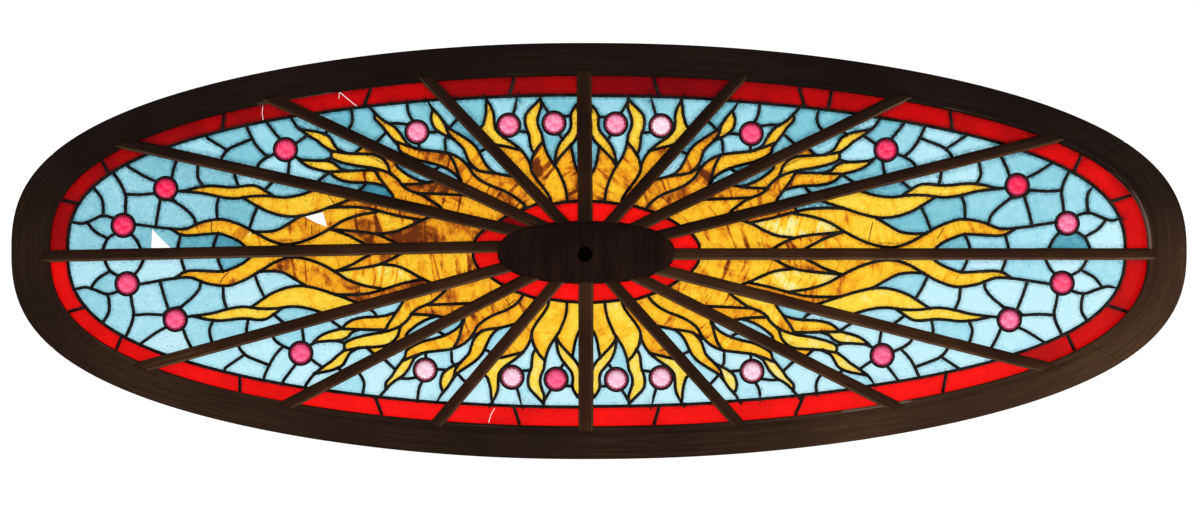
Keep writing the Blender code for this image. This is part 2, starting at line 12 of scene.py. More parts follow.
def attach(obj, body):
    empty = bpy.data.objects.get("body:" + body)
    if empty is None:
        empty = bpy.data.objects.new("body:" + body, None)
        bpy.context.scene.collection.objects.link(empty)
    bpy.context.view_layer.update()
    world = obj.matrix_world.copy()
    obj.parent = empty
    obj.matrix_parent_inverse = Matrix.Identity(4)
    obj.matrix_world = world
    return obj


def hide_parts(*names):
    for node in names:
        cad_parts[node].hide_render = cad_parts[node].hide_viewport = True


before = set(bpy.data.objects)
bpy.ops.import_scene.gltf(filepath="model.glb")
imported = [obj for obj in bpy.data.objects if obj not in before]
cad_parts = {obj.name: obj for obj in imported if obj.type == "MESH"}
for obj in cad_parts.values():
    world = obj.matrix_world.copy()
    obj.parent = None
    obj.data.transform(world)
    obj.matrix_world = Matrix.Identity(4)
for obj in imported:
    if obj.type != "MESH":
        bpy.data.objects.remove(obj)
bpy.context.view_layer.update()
chance = random.Random(11)
print("loaded the packed skylight:", len(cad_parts), "nodes")


# Small helpers

def colour(hexCode):
    parts = [int(hexCode[i : i + 2], 16) / 255 for i in (1, 3, 5)]
    return (*[p / 12.92 if p <= 0.04045 else ((p + 0.055) / 1.055) ** 2.4 for p in parts], 1.0)


def setInputs(node, inputs):
    # the inputs are named or in order: each is a number, a colour's code, or the node or socket it comes from
    for name, value in inputs.items() if isinstance(inputs, dict) else enumerate(inputs):
        if isinstance(value, bpy.types.Node):
            value = value.outputs[0]
        if isinstance(value, bpy.types.NodeSocket):
            node.id_data.links.new(value, node.inputs[name])
        else:
            node.inputs[name].default_value = colour(value) if isinstance(value, str) else value


def addNode(tree, kind, inputs=(), ramp=(), **settings):
    node = tree.nodes.new("ShaderNode" + kind)
    for name, value in settings.items():
        setattr(node, name, value)
    setInputs(node, inputs)
    for i, (place, shade) in enumerate(ramp):
        stops = node.color_ramp.elements
        if i == 0:
            stops.remove(stops[1])
            stops[0].position = place
        stop = stops.new(place) if i else stops[0]
        stop.color = colour(shade)
    return node


def newMaterial(name):
    made = bpy.data.materials.new(name)
    made.use_nodes = True
    return made, partial(addNode, made.node_tree), made.node_tree.nodes["Principled BSDF"]


def newObject(name, data):
    made = bpy.data.objects.new(name, data)
    bpy.context.scene.collection.objects.link(made)
    return made


def meshOf(name, bm, materials=()):
    mesh = bpy.data.meshes.new(name)
    bm.to_mesh(mesh)
    bm.free()
    for material in materials:
        mesh.materials.append(material)
    return mesh


def addPiece(name, bm, materials, nodes, sharpDegrees=35):
    mesh = meshOf(name, bm, materials)
    mesh.polygons.foreach_set("use_smooth", [True] * len(mesh.polygons))
    mesh.set_sharp_from_angle(angle=math.radians(sharpDegrees))
    piece = newObject(name, mesh)
    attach(piece, "root")
    if nodes:
        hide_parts(*nodes)


# The layout that every piece shares, in metres and degrees, the same as in the CAD frame

layout = {
    "halfLength": 1.181,
    "halfHeight": 0.4132,
    "squareness": 2.25,
    "waver": ((6, -0.0061), (3, 0.0041)),
    "railWidth": 0.065,
    "endWidth": 0.076,
    "lipBack": -0.030,
    "hubOffset": (-0.0212, -0.0027),
    "hubHalves": (0.175, 0.060),
    "hubSquareness": 2.3,
    "glassFront": -0.0270,
    "glassBack": -0.0230,
}
barTurns = (
    (-3.3, -1.0), (33.2, 38.2), (55.9, 58.0), (74.5, 75.4),
    (90.45, 91.3), (104.8, 107.3), (119.8, 123.9), (138.0, 144.1),
    (168.9, 181.7), (208.3, 218.9), (232.4, 237.6), (251.3, 253.7),
    (269.95, 268.9), (286.4, 284.5), (305.1, 301.2), (325.8, 320.6),
)  # round the hub, round the frame, counter-clockwise from the right
wideBars = (5, 13)


class Oval:
    def __init__(self, middle, halfLength, halfHeight, squareness, waver=()):
        self.middle = Vector(middle)
        self.halves = (halfLength, halfHeight)
        self.squareness = squareness
        self.waver = waver

    def inset(self, by, byEnds=None):
        length = self.halves[0] - (by if byEnds is None else byEnds)
        return Oval(self.middle, length, self.halves[1] - by, self.squareness, self.waver)

    def point(self, turn):
        n = self.squareness
        reach = (abs(math.cos(turn)) ** n + abs(math.sin(turn)) ** n) ** (-1 / n)
        reach *= 1 + sum(share * math.cos(waves * turn) for waves, share in self.waver)
        length, height = self.halves
        return self.middle + reach * Vector((length * math.cos(turn), height * math.sin(turn)))

    def turn(self, point):
        length, height = self.halves
        return math.atan2((point.y - self.middle.y) / height, (point.x - self.middle.x) / length)

    def holds(self, point):
        return (point - self.middle).length < (self.point(self.turn(point)) - self.middle).length

    def crossing(self, start, direction, longest=1.5):
        inside, outside = 0.0, longest
        for _ in range(32):
            middle = (inside + outside) / 2
            if self.holds(start + middle * direction):
                inside = middle
            else:
                outside = middle
        return inside


frameOval = Oval((0, 0), layout["halfLength"], layout["halfHeight"], layout["squareness"], layout["waver"])
frameOval.middle.y = -frameOval.inset(layout["railWidth"] / 2).point(math.radians(270)).y
hubOval = Oval(frameOval.middle + Vector(layout["hubOffset"]), *layout["hubHalves"], layout["hubSquareness"])


def frameInset(by):
    return frameOval.inset(by, by * layout["endWidth"] / layout["railWidth"])


lipOval = frameInset(layout["railWidth"])


def inSpace(point, depth):
    return Vector((point[0], depth, point[1]))


def lengthsAlong(points):
    lengths = [0.0]
    for a, b in zip(points, points[1:]):
        lengths.append(lengths[-1] + (b - a).length)
    return lengths


def roundedSection(corners, steps=3):
    # corners are (inset, depth, radius) round a closed section; the first point comes again at the end
    points = []
    for i, (inset, depth, radius) in enumerate(corners):
        here = Vector((inset, depth))
        if not radius:
            points.append(here)
            continue
        before = Vector(corners[i - 1][:2])
        after = Vector(corners[(i + 1) % len(corners)][:2])
        a = here.lerp(before, radius / (here - before).length)
        c = here.lerp(after, radius / (here - after).length)
        for s in range(steps + 1):
            t = s / steps
            points.append(a.lerp(here, t).lerp(here.lerp(c, t), t))
    return [*points, points[0]]


def wrappedGrid(alongs, acrosses, placeOf, marks=None, ends=True):
    # a grid of quads wrapped into a skin; its UV map holds metres along and across, and the marks are numbers
    # that its corners hold
    bm = bmesh.new()
    grain = bm.loops.layers.uv.new("grain")
    layers = {name: bm.verts.layers.float.new(name) for name in marks or {}}
    nx, ny = len(alongs) - 1, len(acrosses) - 1
    bmesh.ops.create_grid(bm, x_segments=nx, y_segments=ny, size=1)
    spots = {vert: (round((vert.co.x + 1) / 2 * nx), round((vert.co.y + 1) / 2 * ny)) for vert in bm.verts}
    for face in bm.faces:
        for loop in face.loops:
            i, j = spots[loop.vert]
            loop[grain].uv = (alongs[i], acrosses[j])
    for vert, (i, j) in spots.items():
        vert.co = placeOf(i, j)
        for name, layer in layers.items():
            vert[layer] = marks[name](i, j)
    bmesh.ops.remove_doubles(bm, verts=bm.verts[:], dist=1e-6)
    if ends:
        bmesh.ops.holes_fill(bm, edges=bm.edges[:], sides=0)
    bmesh.ops.recalc_face_normals(bm, faces=bm.faces[:])
    return bm


# Wood

def stainedWood(name, look):
    # oak under an old near-black stain, with long dull grain: brown where the stain is thin and where light
    # is painted on as thinner stain, and pale raw wood where an edge has been rubbed
    made, add, shader = newMaterial(name)
    grainMap = add("UVMap", uv_map="grain")
    place = add("TexCoord").outputs["Object"]
    # this mark holds thin stain and painted light together
    thinAndLit = add("Attribute", attribute_name="thinAndLit").outputs["Fac"]
    bare = add("Attribute", attribute_name="wear").outputs["Fac"]
    scales = [(1000 / look[kind + "Length"], 1000 / look[kind + "Width"], 1) for kind in ("grain", "pore")]
    along, fine = [add("Mapping", {"Vector": grainMap, "Scale": scale}) for scale in scales]
    streaks = {"Scale": 1.0, "Detail": 5.0, "Roughness": 0.65, "Distortion": 0.4}
    grain = add("TexNoise", {"Vector": along, **streaks})
    pores = add("TexNoise", {"Vector": fine, "Scale": 1.0})
    patches = add("TexNoise", {"Vector": place, "Scale": 1000 / look["patchSize"], "Detail": 3.0})
    thinAndLitPart = add("Math", (thinAndLit, look["thinAndLitWeight"]), operation="MULTIPLY")
    mixed = add("Math", (patches, grain), operation="MULTIPLY")
    stain = add("Math", (mixed, thinAndLitPart))
    stained = add("ValToRGB", (stain,), look["stain"])
    side = add("SeparateXYZ", (place,)).outputs["Y"]
    back = add("MapRange", (side, -0.006, -0.001, 0.0, 0.75))
    unstained = add("MixRGB", (back, stained, look["sawn"]))
    fleckScale = 1000 / look["fleckSize"]
    flecks = add("TexNoise", {"Vector": along, "Scale": fleckScale, "Detail": 4.0, "Roughness": 0.7})
    rubbing = add("Math", (bare, flecks), operation="MULTIPLY")
    rubbed = add("MapRange", (rubbing, look["rubFrom"], look["rubTo"]))
    worn = add("MixRGB", (rubbed, unstained, look["raw"]))
    poreDark = add("MapRange", (pores, 0.35, 0.5, 0.62))
    pored = add("MixRGB", (1.0, worn, poreDark), blend_type="MULTIPLY")
    rough = add("MapRange", (grain, 0.0, 1.0, look["roughness"] - 0.08, look["roughness"] + 0.14))
    height = add("Math", (grain, pores))
    bump = add("Bump", {"Height": height, "Strength": 0.28, "Distance": look["relief"]})
    setInputs(shader, {"Base Color": pored, "Roughness": rough, "Normal": bump})
    setInputs(shader, {"Specular IOR Level": look["sheen"]})
    return made


frameLook = {
    "grainLength": 160, "grainWidth": 5, "poreLength": 22, "poreWidth": 0.9, "patchSize": 330,  # millimetres
    "fleckSize": 2000, "thinAndLitWeight": 0.42,
    "stain": ((0.08, "#100907"), (0.25, "#1f120d"), (0.45, "#352116"), (0.65, "#4f3625"), (0.9, "#6a4d34")),
    "raw": "#8c7468", "sawn": "#5d4a37", "rubFrom": 0.36, "rubTo": 0.47,
    "roughness": 0.62, "relief": 0.0006, "sheen": 0.16,
}
barLook = {
    **frameLook, "grainWidth": 3.5, "patchSize": 150, "rubFrom": 0.33, "rubTo": 0.45, "sheen": 0.12,
    "stain": ((0.06, "#1a0e09"), (0.25, "#301c11"), (0.45, "#4a2c1a"), (0.65, "#6b4a30"), (0.9, "#8a6a50")),
}
hubLook = {
    **frameLook, "grainWidth": 16, "grainLength": 210, "fleckSize": 400, "rubFrom": 0.34, "rubTo": 0.5,
    "stain": ((0.0, "#170c08"), (0.2, "#22130e"), (0.32, "#351d14"), (0.5, "#50301f")),
    "raw": "#6d5548", "sheen": 0.12,
}
# painted light round the frame, by degrees: the wood is painted paler, as if its stain were thinner, at both
# ends and along the bottom, most at the lower right where the light falls
paintedLightRound = (
    (-40, 1.0), (0, 0.85), (12, 0.45), (22, 0.05), (60, 0.0), (100, 0.06), (150, 0.18), (180, 0.66),
    (200, 0.6), (220, 0.66), (240, 0.72), (265, 0.46), (282, 0.55), (300, 0.85), (320, 1.0), (360, 0.85),
)


def paintedLightAt(turn):
    degrees = math.degrees(turn) % 360
    for (low, a), (high, b) in zip(paintedLightRound, paintedLightRound[1:]):
        if low <= degrees <= high:
            return a + (b - a) * (degrees - low) / (high - low)


frameWood = stainedWood("dark stained oak", frameLook)
barWood = stainedWood("stained oak glazing bar", barLook)
hubWood = stainedWood("dark stained oak hub", hubLook)
print("wood finishes made")


# The frame's four felloes

frameShape = {
    "front": -0.055,
    "stepFront": -0.049,
    "stepWidth": 0.012,
    "rebate": 0.012,
    "joints": (-31.0, 30.5, 153.0, 207.0),
    "jointTurn": 0.0003,
    "jointDip": 0.0009,  # how deep the worn groove at a joint is, and how much of a station it is wide
    "wornStations": 0.15,
    "scuffed": ((1, 27), (118, 126), (296, 304)),  # where the inner edge is rubbed to bare wood
    "stationEvery": 0.014,
    "names": {"Right": "frame_right", "Top": "frame_top", "Left": "frame_left", "Bottom": "frame_bottom"},
}


def frameSection():
    rail = layout["railWidth"]
    step = rail - frameShape["stepWidth"]
    front, stepFront = frameShape["front"], frameShape["stepFront"]
    inner = rail - frameShape["rebate"]
    return roundedSection((
        (0.0, 0.0, 0.0015),
        (0.0, front, 0.005),
        (0.018, front - 0.0004, 0.0),
        (0.036, front - 0.0004, 0.0),
        (step - 0.005, front, 0.0035),
        (step + 0.002, stepFront, 0.0035),
        (rail, stepFront - 0.0002, 0.0045),
        (rail, layout["lipBack"], 0.001),
        (inner, layout["lipBack"], 0.0),
        (inner, 0.0, 0.001),
    ))


def felloe(side, first, last):
    section = frameSection()
    middle = Vector((layout["railWidth"] / 2, frameShape["front"] / 2))
    start = math.radians(first) + frameShape["jointTurn"]
    end = math.radians(last) - frameShape["jointTurn"]
    run = lengthsAlong([frameOval.point(start + (end - start) * i / 200) for i in range(201)])[-1]
    count = round(run / frameShape["stationEvery"])
    worn = frameShape["wornStations"]
    turns = [start + (end - start) * i / count for i in (worn, *range(1, count), count - worn)]
    turns = [start, *turns, end]
    alongs = [run * (turn - start) / (end - start) + 3 * len(side) for turn in turns]
    ovals = {}

    def placeOf(i, j):
        spot = section[j]
        if i in (0, len(turns) - 1):
            spot = spot + (middle - spot).normalized() * frameShape["jointDip"]
        key = round(spot.x, 6)
        if key not in ovals:
            ovals[key] = frameInset(spot.x)
        return inSpace(ovals[key].point(turns[i]), spot.y)

    def wearOf(i, j):
        spot = section[j]
        degrees = math.degrees(turns[i]) % 360
        scuffed = any(low < degrees < high for low, high in frameShape["scuffed"])
        onFront = spot.y < layout["lipBack"]
        onEdge = onFront and abs(spot.x - layout["railWidth"]) < 0.006
        onStep = onFront and abs(spot.x - layout["railWidth"] + frameShape["stepWidth"]) < 0.003
        onOuter = spot.x < 0.004 and spot.y < -0.03
        if onEdge:
            return 0.95 if scuffed else 0.6
        return 0.5 if onStep or onOuter else 0.0

    # the mark for thin stain also carries the frame's painted light
    marks = {"wear": wearOf, "thinAndLit": lambda i, j: paintedLightAt(turns[i])}
    bm = wrappedGrid(alongs, lengthsAlong(section), placeOf, marks)
    addPiece("frame" + side, bm, [frameWood], [frameShape["names"][side]])


joints = [*frameShape["joints"], frameShape["joints"][0] + 360]
for side, first, last in zip(frameShape["names"], joints, joints[1:]):
    felloe(side, first, last)
print("felloes made")


# The hub

hubShape = {
    "front": -0.058,
    "back": -0.008,
    "lip": 0.008,
    "rounding": 0.004,
    "holeWidth": 0.030,
    "holeDepth": 0.036,  # it is blind
    "holeOffset": (-0.002, -0.0035),
    "sides": 160,
}


def hubBlock():
    radius, pole = hubShape["holeWidth"] / 2, 1e-7
    holeMiddle = hubOval.middle + Vector(hubShape["holeOffset"])
    hole = Oval(holeMiddle, radius, radius, 2)
    front, back, lip, rounding = (hubShape[key] for key in ("front", "back", "lip", "rounding"))
    bottom = front + hubShape["holeDepth"]
    # from the middle of the hole's floor, up its wall, out over the front and round to the middle of the back
    levels = [(Oval(holeMiddle, pole, pole, 2), bottom - 0.004), (hole.inset(0.001), bottom)]
    levels += [(hole, depth) for depth in (bottom - 0.001, front + 0.012, front + 0.0015)]
    levels += [(hole.inset(-0.0015), front), (hubOval.inset(0.040), front)]
    levels += [(hubOval.inset(0.028), front - 0.0003), (hubOval.inset(0.014), front)]
    for s in range(5):
        lean = math.radians(22.5 * s)
        by, depth = (rounding * (1 - part) for part in (math.sin(lean), math.cos(lean)))
        levels.append((hubOval.inset(by), front + depth))
    levels += [(hubOval, layout["lipBack"]), (hubOval.inset(lip), layout["lipBack"])]
    levels += [(hubOval.inset(lip), back), (Oval(hubOval.middle, pole, pole, 2), back)]
    turns = [math.tau * i / hubShape["sides"] for i in range(hubShape["sides"] + 1)]

    def placeOf(i, j):
        oval, depth = levels[j]
        return inSpace(oval.point(turns[i]), depth)

    def wearOf(i, j):
        oval, depth = levels[j]
        onEdge = oval.halves[0] > hubOval.halves[0] - rounding and depth < front + rounding + 0.001
        return 0.6 if onEdge else 0.0

    bm = wrappedGrid(turns, list(range(len(levels))), placeOf, {"wear": wearOf}, ends=False)
    grain = bm.loops.layers.uv["grain"]
    for face in bm.faces:
        for loop in face.loops:
            loop[grain].uv = (loop.vert.co.z + loop.vert.co.y, loop.vert.co.x)
    addPiece("hubBlock", bm, [hubWood], ["hub"])


hubBlock()
print("hub made")


# The sixteen glazing bars

barShape = {
    "width": 0.0238,
    "wideWidth": 0.030,
    "front": -0.052,
    "back": -0.010,
    "chamfer": 0.005,
    "web": 0.006,
    "letIn": 0.010,
    "stationEvery": 0.020,
    "unevenness": 0.0004,  # hand-planed
    "flankThinAndLit": 0.75,  # how thin the stain is on its chamfers and sides, and how rubbed they are; both are painted paler on the flank that faces down, as painted light
    "flankRubAndLight": 0.62,
    "lean": 0.16,  # painted light: how much paler it is painted toward the edge that faces down, where the light falls
    "frameLightShare": 0.5,  # how far it takes on the painted light of the frame beside it
}
# how much thinner or thicker the stain is on a few bars
oddBars = {3: 0.1, 6: -0.08, 8: -0.04, 9: -0.08, 13: 0.25, 14: -0.06}


class Bar:
    def __init__(self, number, hubDegrees, rimDegrees):
        self.number = number
        self.hubTurn = math.radians(hubDegrees)
        self.rimTurn = math.radians(rimDegrees)
        self.start = hubOval.point(self.hubTurn)
        run = lipOval.point(self.rimTurn) - self.start
        self.length = run.length
        self.direction = run.normalized()
        self.across = Vector((-self.direction.y, self.direction.x))

    def run(self, side, near, far):
        start = self.start - 0.03 * self.direction + side * self.across
        return (
            start + near.crossing(start, self.direction, 0.2) * self.direction,
            start + far.crossing(start, self.direction) * self.direction,
        )


def glazingBar(bar):
    half = barShape["wideWidth" if bar.number in wideBars else "width"] / 2
    web, chamfer = barShape["web"] / 2, barShape["chamfer"]
    front, back = barShape["front"], barShape["back"]
    section = roundedSection((
        (-half, layout["lipBack"], 0.001),
        (-half, front + chamfer, 0.0008),
        (-half + chamfer, front, 0.0012),
        (0.0, front - 0.0003, 0.0),
        (half - chamfer, front, 0.0012),
        (half, front + chamfer, 0.0008),
        (half, layout["lipBack"], 0.001),
        (web, layout["lipBack"], 0.0),
        (web, back, 0.0008),
        (-web, back, 0.0008),
        (-web, layout["lipBack"], 0.0),
    ), steps=2)
    near = hubOval.inset(0.006)
    far = frameInset(layout["railWidth"] - barShape["letIn"])
    runs = [bar.run(spot.x, near, far) for spot in section]
    count = round(bar.length / barShape["stationEvery"])
    alongs = [bar.length * i / count + 1.7 * bar.number for i in range(count + 1)]
    drift = [chance.uniform(-1, 1) * barShape["unevenness"] for _ in range(count + 1)]

    def placeOf(i, j):
        a, b = runs[j]
        spot = a.lerp(b, i / count)
        lift = drift[i] if section[j].y < -0.04 and 0 < i < count else 0.0
        return inSpace(spot + bar.across * lift, section[j].y + 0.5 * lift)

    def isFlank(j):
        return abs(section[j].x) > half - chamfer + 0.0002

    def below(j):
        return -math.copysign(1, section[j].x) * bar.across.y

    # the stain's mark also holds painted light: the flank and edge that face down are painted paler, as lit
    # from below, and the bar takes on the frame's painted light
    def thinAndLitOf(i, j):
        here = barShape["frameLightShare"] * paintedLightAt(bar.rimTurn) + oddBars.get(bar.number, 0)
        if isFlank(j):
            return here + barShape["flankThinAndLit"] * (0.6 + 0.6 * below(j))
        return here + barShape["lean"] * below(j) * abs(section[j].x) / half

    # the flanks are rubbed, and painted a little paler still where they face down, as painted light
    def wearOf(i, j):
        return barShape["flankRubAndLight"] * (0.85 + 0.2 * below(j)) if isFlank(j) else 0.0

    bm = wrappedGrid(alongs, lengthsAlong(section), placeOf, {"wear": wearOf, "thinAndLit": thinAndLitOf})
    addPiece(f"glazingBar{bar.number:02d}", bm, [barWood], [f"bar_{bar.number:02d}"])


bars = [Bar(i + 1, *turns) for i, turns in enumerate(barTurns)]
for bar in bars:
    glazingBar(bar)
print("glazing bars made")


# The cartoon. A place in a light is two numbers in thousandths: how far it is from the hub to the frame, and
# from the light's first bar to its second. These are the leads of the four designs of light

leads = {
    "long": (
        ((50, 0), (57, 400), (68, 1000)),
        ((186, 1000), (198, 780), (207, 600), (226, 440), (258, 365)),
        ((192, 0), (222, 210), (258, 355), (300, 392), (363, 392)),
        ((198, 815), (250, 825), (300, 850), (340, 856), (375, 820), (407, 765)),
        (
            (300, 840), (328, 720), (350, 570), (366, 400), (395, 230), (430, 125), (462, 103),
            (495, 165), (530, 275),
        ),
        ((530, 275), (570, 375), (615, 425), (655, 375), (688, 285), (735, 283), (812, 315)),
        ((385, 1000), (405, 780), (425, 650), (452, 560), (487, 545), (530, 590), (570, 660), (606, 715)),
        ((447, 565), (462, 430), (480, 325), (505, 285), (535, 280)),
        (
            (485, 1000), (497, 870), (522, 800), (560, 785), (592, 750), (620, 695), (660, 690),
            (700, 705), (765, 693),
        ),
        ((545, 790), (580, 840), (620, 873), (655, 815), (700, 795), (725, 755), (745, 695)),
        ((535, 0), (560, 135), (590, 210), (615, 240), (650, 220), (680, 205), (700, 220), (722, 280)),
        ((262, 0), (281, 140), (299, 215), (320, 300), (366, 400)),
        ((555, 630), (547, 480), (544, 310)),
        ((658, 690), (642, 570), (624, 425)),
        ((765, 660), (745, 590), (710, 520), (680, 430), (667, 340)),
        ((740, 585), (778, 600), (800, 640)),
        ((778, 600), (764, 460), (757, 290)),
        ((800, 640), (830, 610), (862, 600)),
        ((925, 745), (885, 665), (857, 580), (843, 490), (833, 400)),
        ((945, 620), (910, 540), (892, 450), (886, 380)),
        ((845, 350), (885, 380), (910, 330), (930, 298), (960, 310)),
        ((918, 305), (895, 225), (866, 165)),
        ((843, 220), (864, 150), (878, 0)),
        ((812, 220), (795, 140), (780, 0)),
        ((696, 215), (700, 100), (702, 0)),
        ((612, 240), (618, 120), (622, 0)),
        ((645, 835), (670, 895), (689.5, 940), (713, 1000)),
        ((715, 775), (755, 860), (810, 1000)),
        ((795, 780), (825, 885), (865, 1000)),
        ((815, 745), (860, 780), (930, 840)),
        ((600, 1000), (583, 845)),
        ((950, 465), (1000, 493)),
        ((945, 755), (1000, 845)),
    ),
    "middle": (
        ((55, 0), (69, 450), (90, 1000)),
        ((205, 1000), (237, 800), (253, 700), (270, 600), (292, 485)),
        ((330, 1000), (338, 800), (346, 680), (362, 560)),
        (
            (165, 0), (200, 260), (240, 390), (280, 470), (320, 482), (350, 530), (385, 620), (420, 680),
            (455, 705), (490, 685), (530, 615), (570, 585), (605, 605), (640, 700),
        ),
        ((430, 685), (465, 770), (500, 850), (540, 900), (568, 900), (590, 840), (612, 760), (650, 700)),
        ((335, 830), (365, 795), (400, 805), (440, 840), (480, 890), (520, 1000)),
        ((295, 0), (315, 180), (345, 300), (380, 405), (410, 490), (440, 560), (475, 645), (500, 670)),
        ((478, 655), (497, 560), (512, 470), (525, 400), (540, 335)),
        ((514, 470), (540, 475), (570, 525), (598, 530), (615, 470), (640, 420), (672, 440)),
        ((605, 605), (604, 530)),
        (
            (375, 390), (405, 385), (427, 340), (447, 270), (475, 240), (505, 275), (535, 330),
            (570, 325), (600, 340), (645, 405),
        ),
        ((424, 340), (408, 200), (400, 0)),
        ((533, 330), (520, 180), (508, 0)),
        ((670, 400), (645, 310), (610, 170), (575, 0)),
        ((712, 400), (705, 290), (690, 160), (660, 0)),
        ((706, 310), (745, 370), (800, 465), (885, 610)),
        ((820, 490), (814, 380), (807, 270), (785, 140), (755, 0)),
        ((807, 250), (840, 285), (900, 340)),
        ((765, 600), (810, 660), (890, 755)),
        ((728, 600), (745, 700), (765, 800)),
        ((615, 760), (650, 775), (690, 835), (730, 885), (768, 885), (810, 830)),
        ((637, 700), (680, 735), (720, 775), (765, 800), (820, 840), (890, 910)),
        ((775, 1000), (748, 885)),
        ((640, 1000), (618, 890), (598, 800)),
        ((870, 385), (1000, 670)),
    ),
    "broad": (
        ((95, 0), (109, 400), (128, 800), (138, 1000)),
        (
            (114, 500), (150, 575), (195, 600), (235, 565), (270, 490), (310, 455), (360, 475),
            (410, 540), (460, 580), (505, 570), (535, 510), (555, 410), (575, 330), (610, 280),
            (645, 255),
        ),
        ((295, 1000), (330, 870), (355, 770), (370, 660), (390, 600), (440, 580)),
        (
            (390, 600), (425, 610), (460, 640), (500, 690), (545, 740), (600, 750), (650, 765),
            (690, 800), (730, 835),
        ),
        (
            (357, 770), (390, 762), (430, 785), (480, 830), (530, 865), (580, 873), (630, 850),
            (680, 822), (730, 832), (780, 850), (830, 855), (900, 880),
        ),
        ((610, 750), (650, 712), (690, 705), (730, 735), (775, 785), (820, 855)),
        ((525, 520), (548, 560), (581, 619), (615, 678), (640, 745)),
        ((672, 600), (672, 710)),
        ((735, 600), (810, 655), (900, 750)),
        ((735, 560), (755, 490), (760, 420)),
        ((570, 330), (600, 390), (630, 460)),
        ((295, 0), (325, 170), (360, 260), (400, 350), (440, 430), (480, 490), (525, 535)),
        (
            (338, 190), (370, 255), (410, 282), (450, 265), (480, 215), (510, 150), (550, 130),
            (585, 155), (620, 220), (660, 262), (705, 300), (750, 345), (800, 375), (840, 435),
        ),
        ((447, 265), (432, 150), (420, 0)),
        ((582, 310), (620, 315), (660, 360), (700, 400), (745, 425), (800, 420), (900, 465)),
        ((710, 305), (685, 210), (660, 110), (645, 0)),
        ((900, 345), (835, 255), (790, 160), (740, 0)),
        ((530, 1000), (522, 930), (508, 850)),
        ((760, 1000), (720, 905), (685, 820)),
        ((870, 400), (1000, 620)),
    ),
    "upright": (
        ((125, 0), (136, 500), (145, 1000)),
        (
            (135, 565), (170, 600), (210, 625), (260, 635), (310, 625), (360, 610), (410, 580),
            (450, 560), (500, 557), (560, 568), (610, 585), (660, 580), (710, 597), (760, 635),
            (800, 665), (870, 678),
        ),
        (
            (385, 600), (420, 650), (455, 715), (490, 785), (520, 840), (560, 900), (610, 940),
            (680, 945), (740, 955), (790, 945),
        ),
        ((295, 1000), (335, 910), (370, 878), (420, 860), (470, 856), (525, 850)),
        (
            (395, 597), (440, 635), (490, 678), (540, 735), (585, 800), (630, 860), (680, 882),
            (730, 883), (780, 915), (815, 955), (835, 1000),
        ),
        ((567, 775), (610, 745)),
        ((727, 780), (727, 885)),
        ((745, 710), (790, 690), (840, 675)),
        ((385, 262), (420, 315), (455, 370), (490, 435), (520, 490), (555, 565)),
        (
            (475, 405), (510, 405), (550, 425), (600, 455), (650, 463), (700, 483), (750, 523),
            (800, 600), (850, 675),
        ),
        (
            (130, 155), (170, 215), (210, 228), (260, 222), (300, 215), (350, 228), (400, 275),
            (440, 290), (480, 290), (520, 275), (560, 240), (600, 195), (650, 182), (700, 215),
            (750, 255), (800, 277), (900, 287),
        ),
        ((503, 285), (525, 190), (545, 100), (565, 0)),
        ((655, 0), (685, 95), (725, 155), (775, 212), (820, 250), (860, 285)),
        ((635, 360), (622, 460)),
        ((735, 400), (800, 462), (900, 535)),
        ((870, 455), (1000, 550)),
    ),
}
# and the leads that only one light has
extraLeads = {
    1: (((335, 1000), (316, 860)),),
    3: (((880, 255), (1000, 410)),),
}
jewelSpots = {
    "long": ((787, 700), (831, 296)),
    "middle": ((716, 500),),
    "broad": ((685, 533),),
    "upright": ((680, 729), (677, 322)),
}
# a place in each amber piece, how brown it is and how streaked; the others within the border are blue
amberSpots = {
    "long": (
        (120, 500, 0.46, 1.1), (270, 580, 0.14, 1.1), (300, 900, 0.7, 0.9), (280, 280, 0.56, 1.1),
        (350, 220, 0.42, 0.6), (420, 400, 0.36, 0.6), (500, 700, 0.28, 0.3), (630, 780, 0.3, 0.25),
        (580, 280, 0.4, 0.7),
    ),
    "middle": (
        (150, 500, 0.48, 0.8), (300, 700, 0.62, 0.8), (350, 420, 0.46, 0.9), (400, 740, 0.46, 0.7),
        (550, 750, 0.27, 0.3), (460, 420, 0.44, 0.7), (580, 430, 0.24, 0.3), (720, 825, 0.24, 0.2),
    ),
    "broad": (
        (250, 750, 0.6, 0.8), (250, 350, 0.56, 0.9), (500, 770, 0.42, 0.5), (500, 350, 0.44, 0.5),
        (720, 780, 0.26, 0.2), (720, 370, 0.26, 0.2),
    ),
    "upright": (
        (300, 750, 0.48, 0.8), (300, 420, 0.44, 0.8), (450, 180, 0.55, 0.6), (600, 880, 0.27, 0.2),
        (650, 520, 0.25, 0.2), (650, 130, 0.26, 0.2),
    ),
}
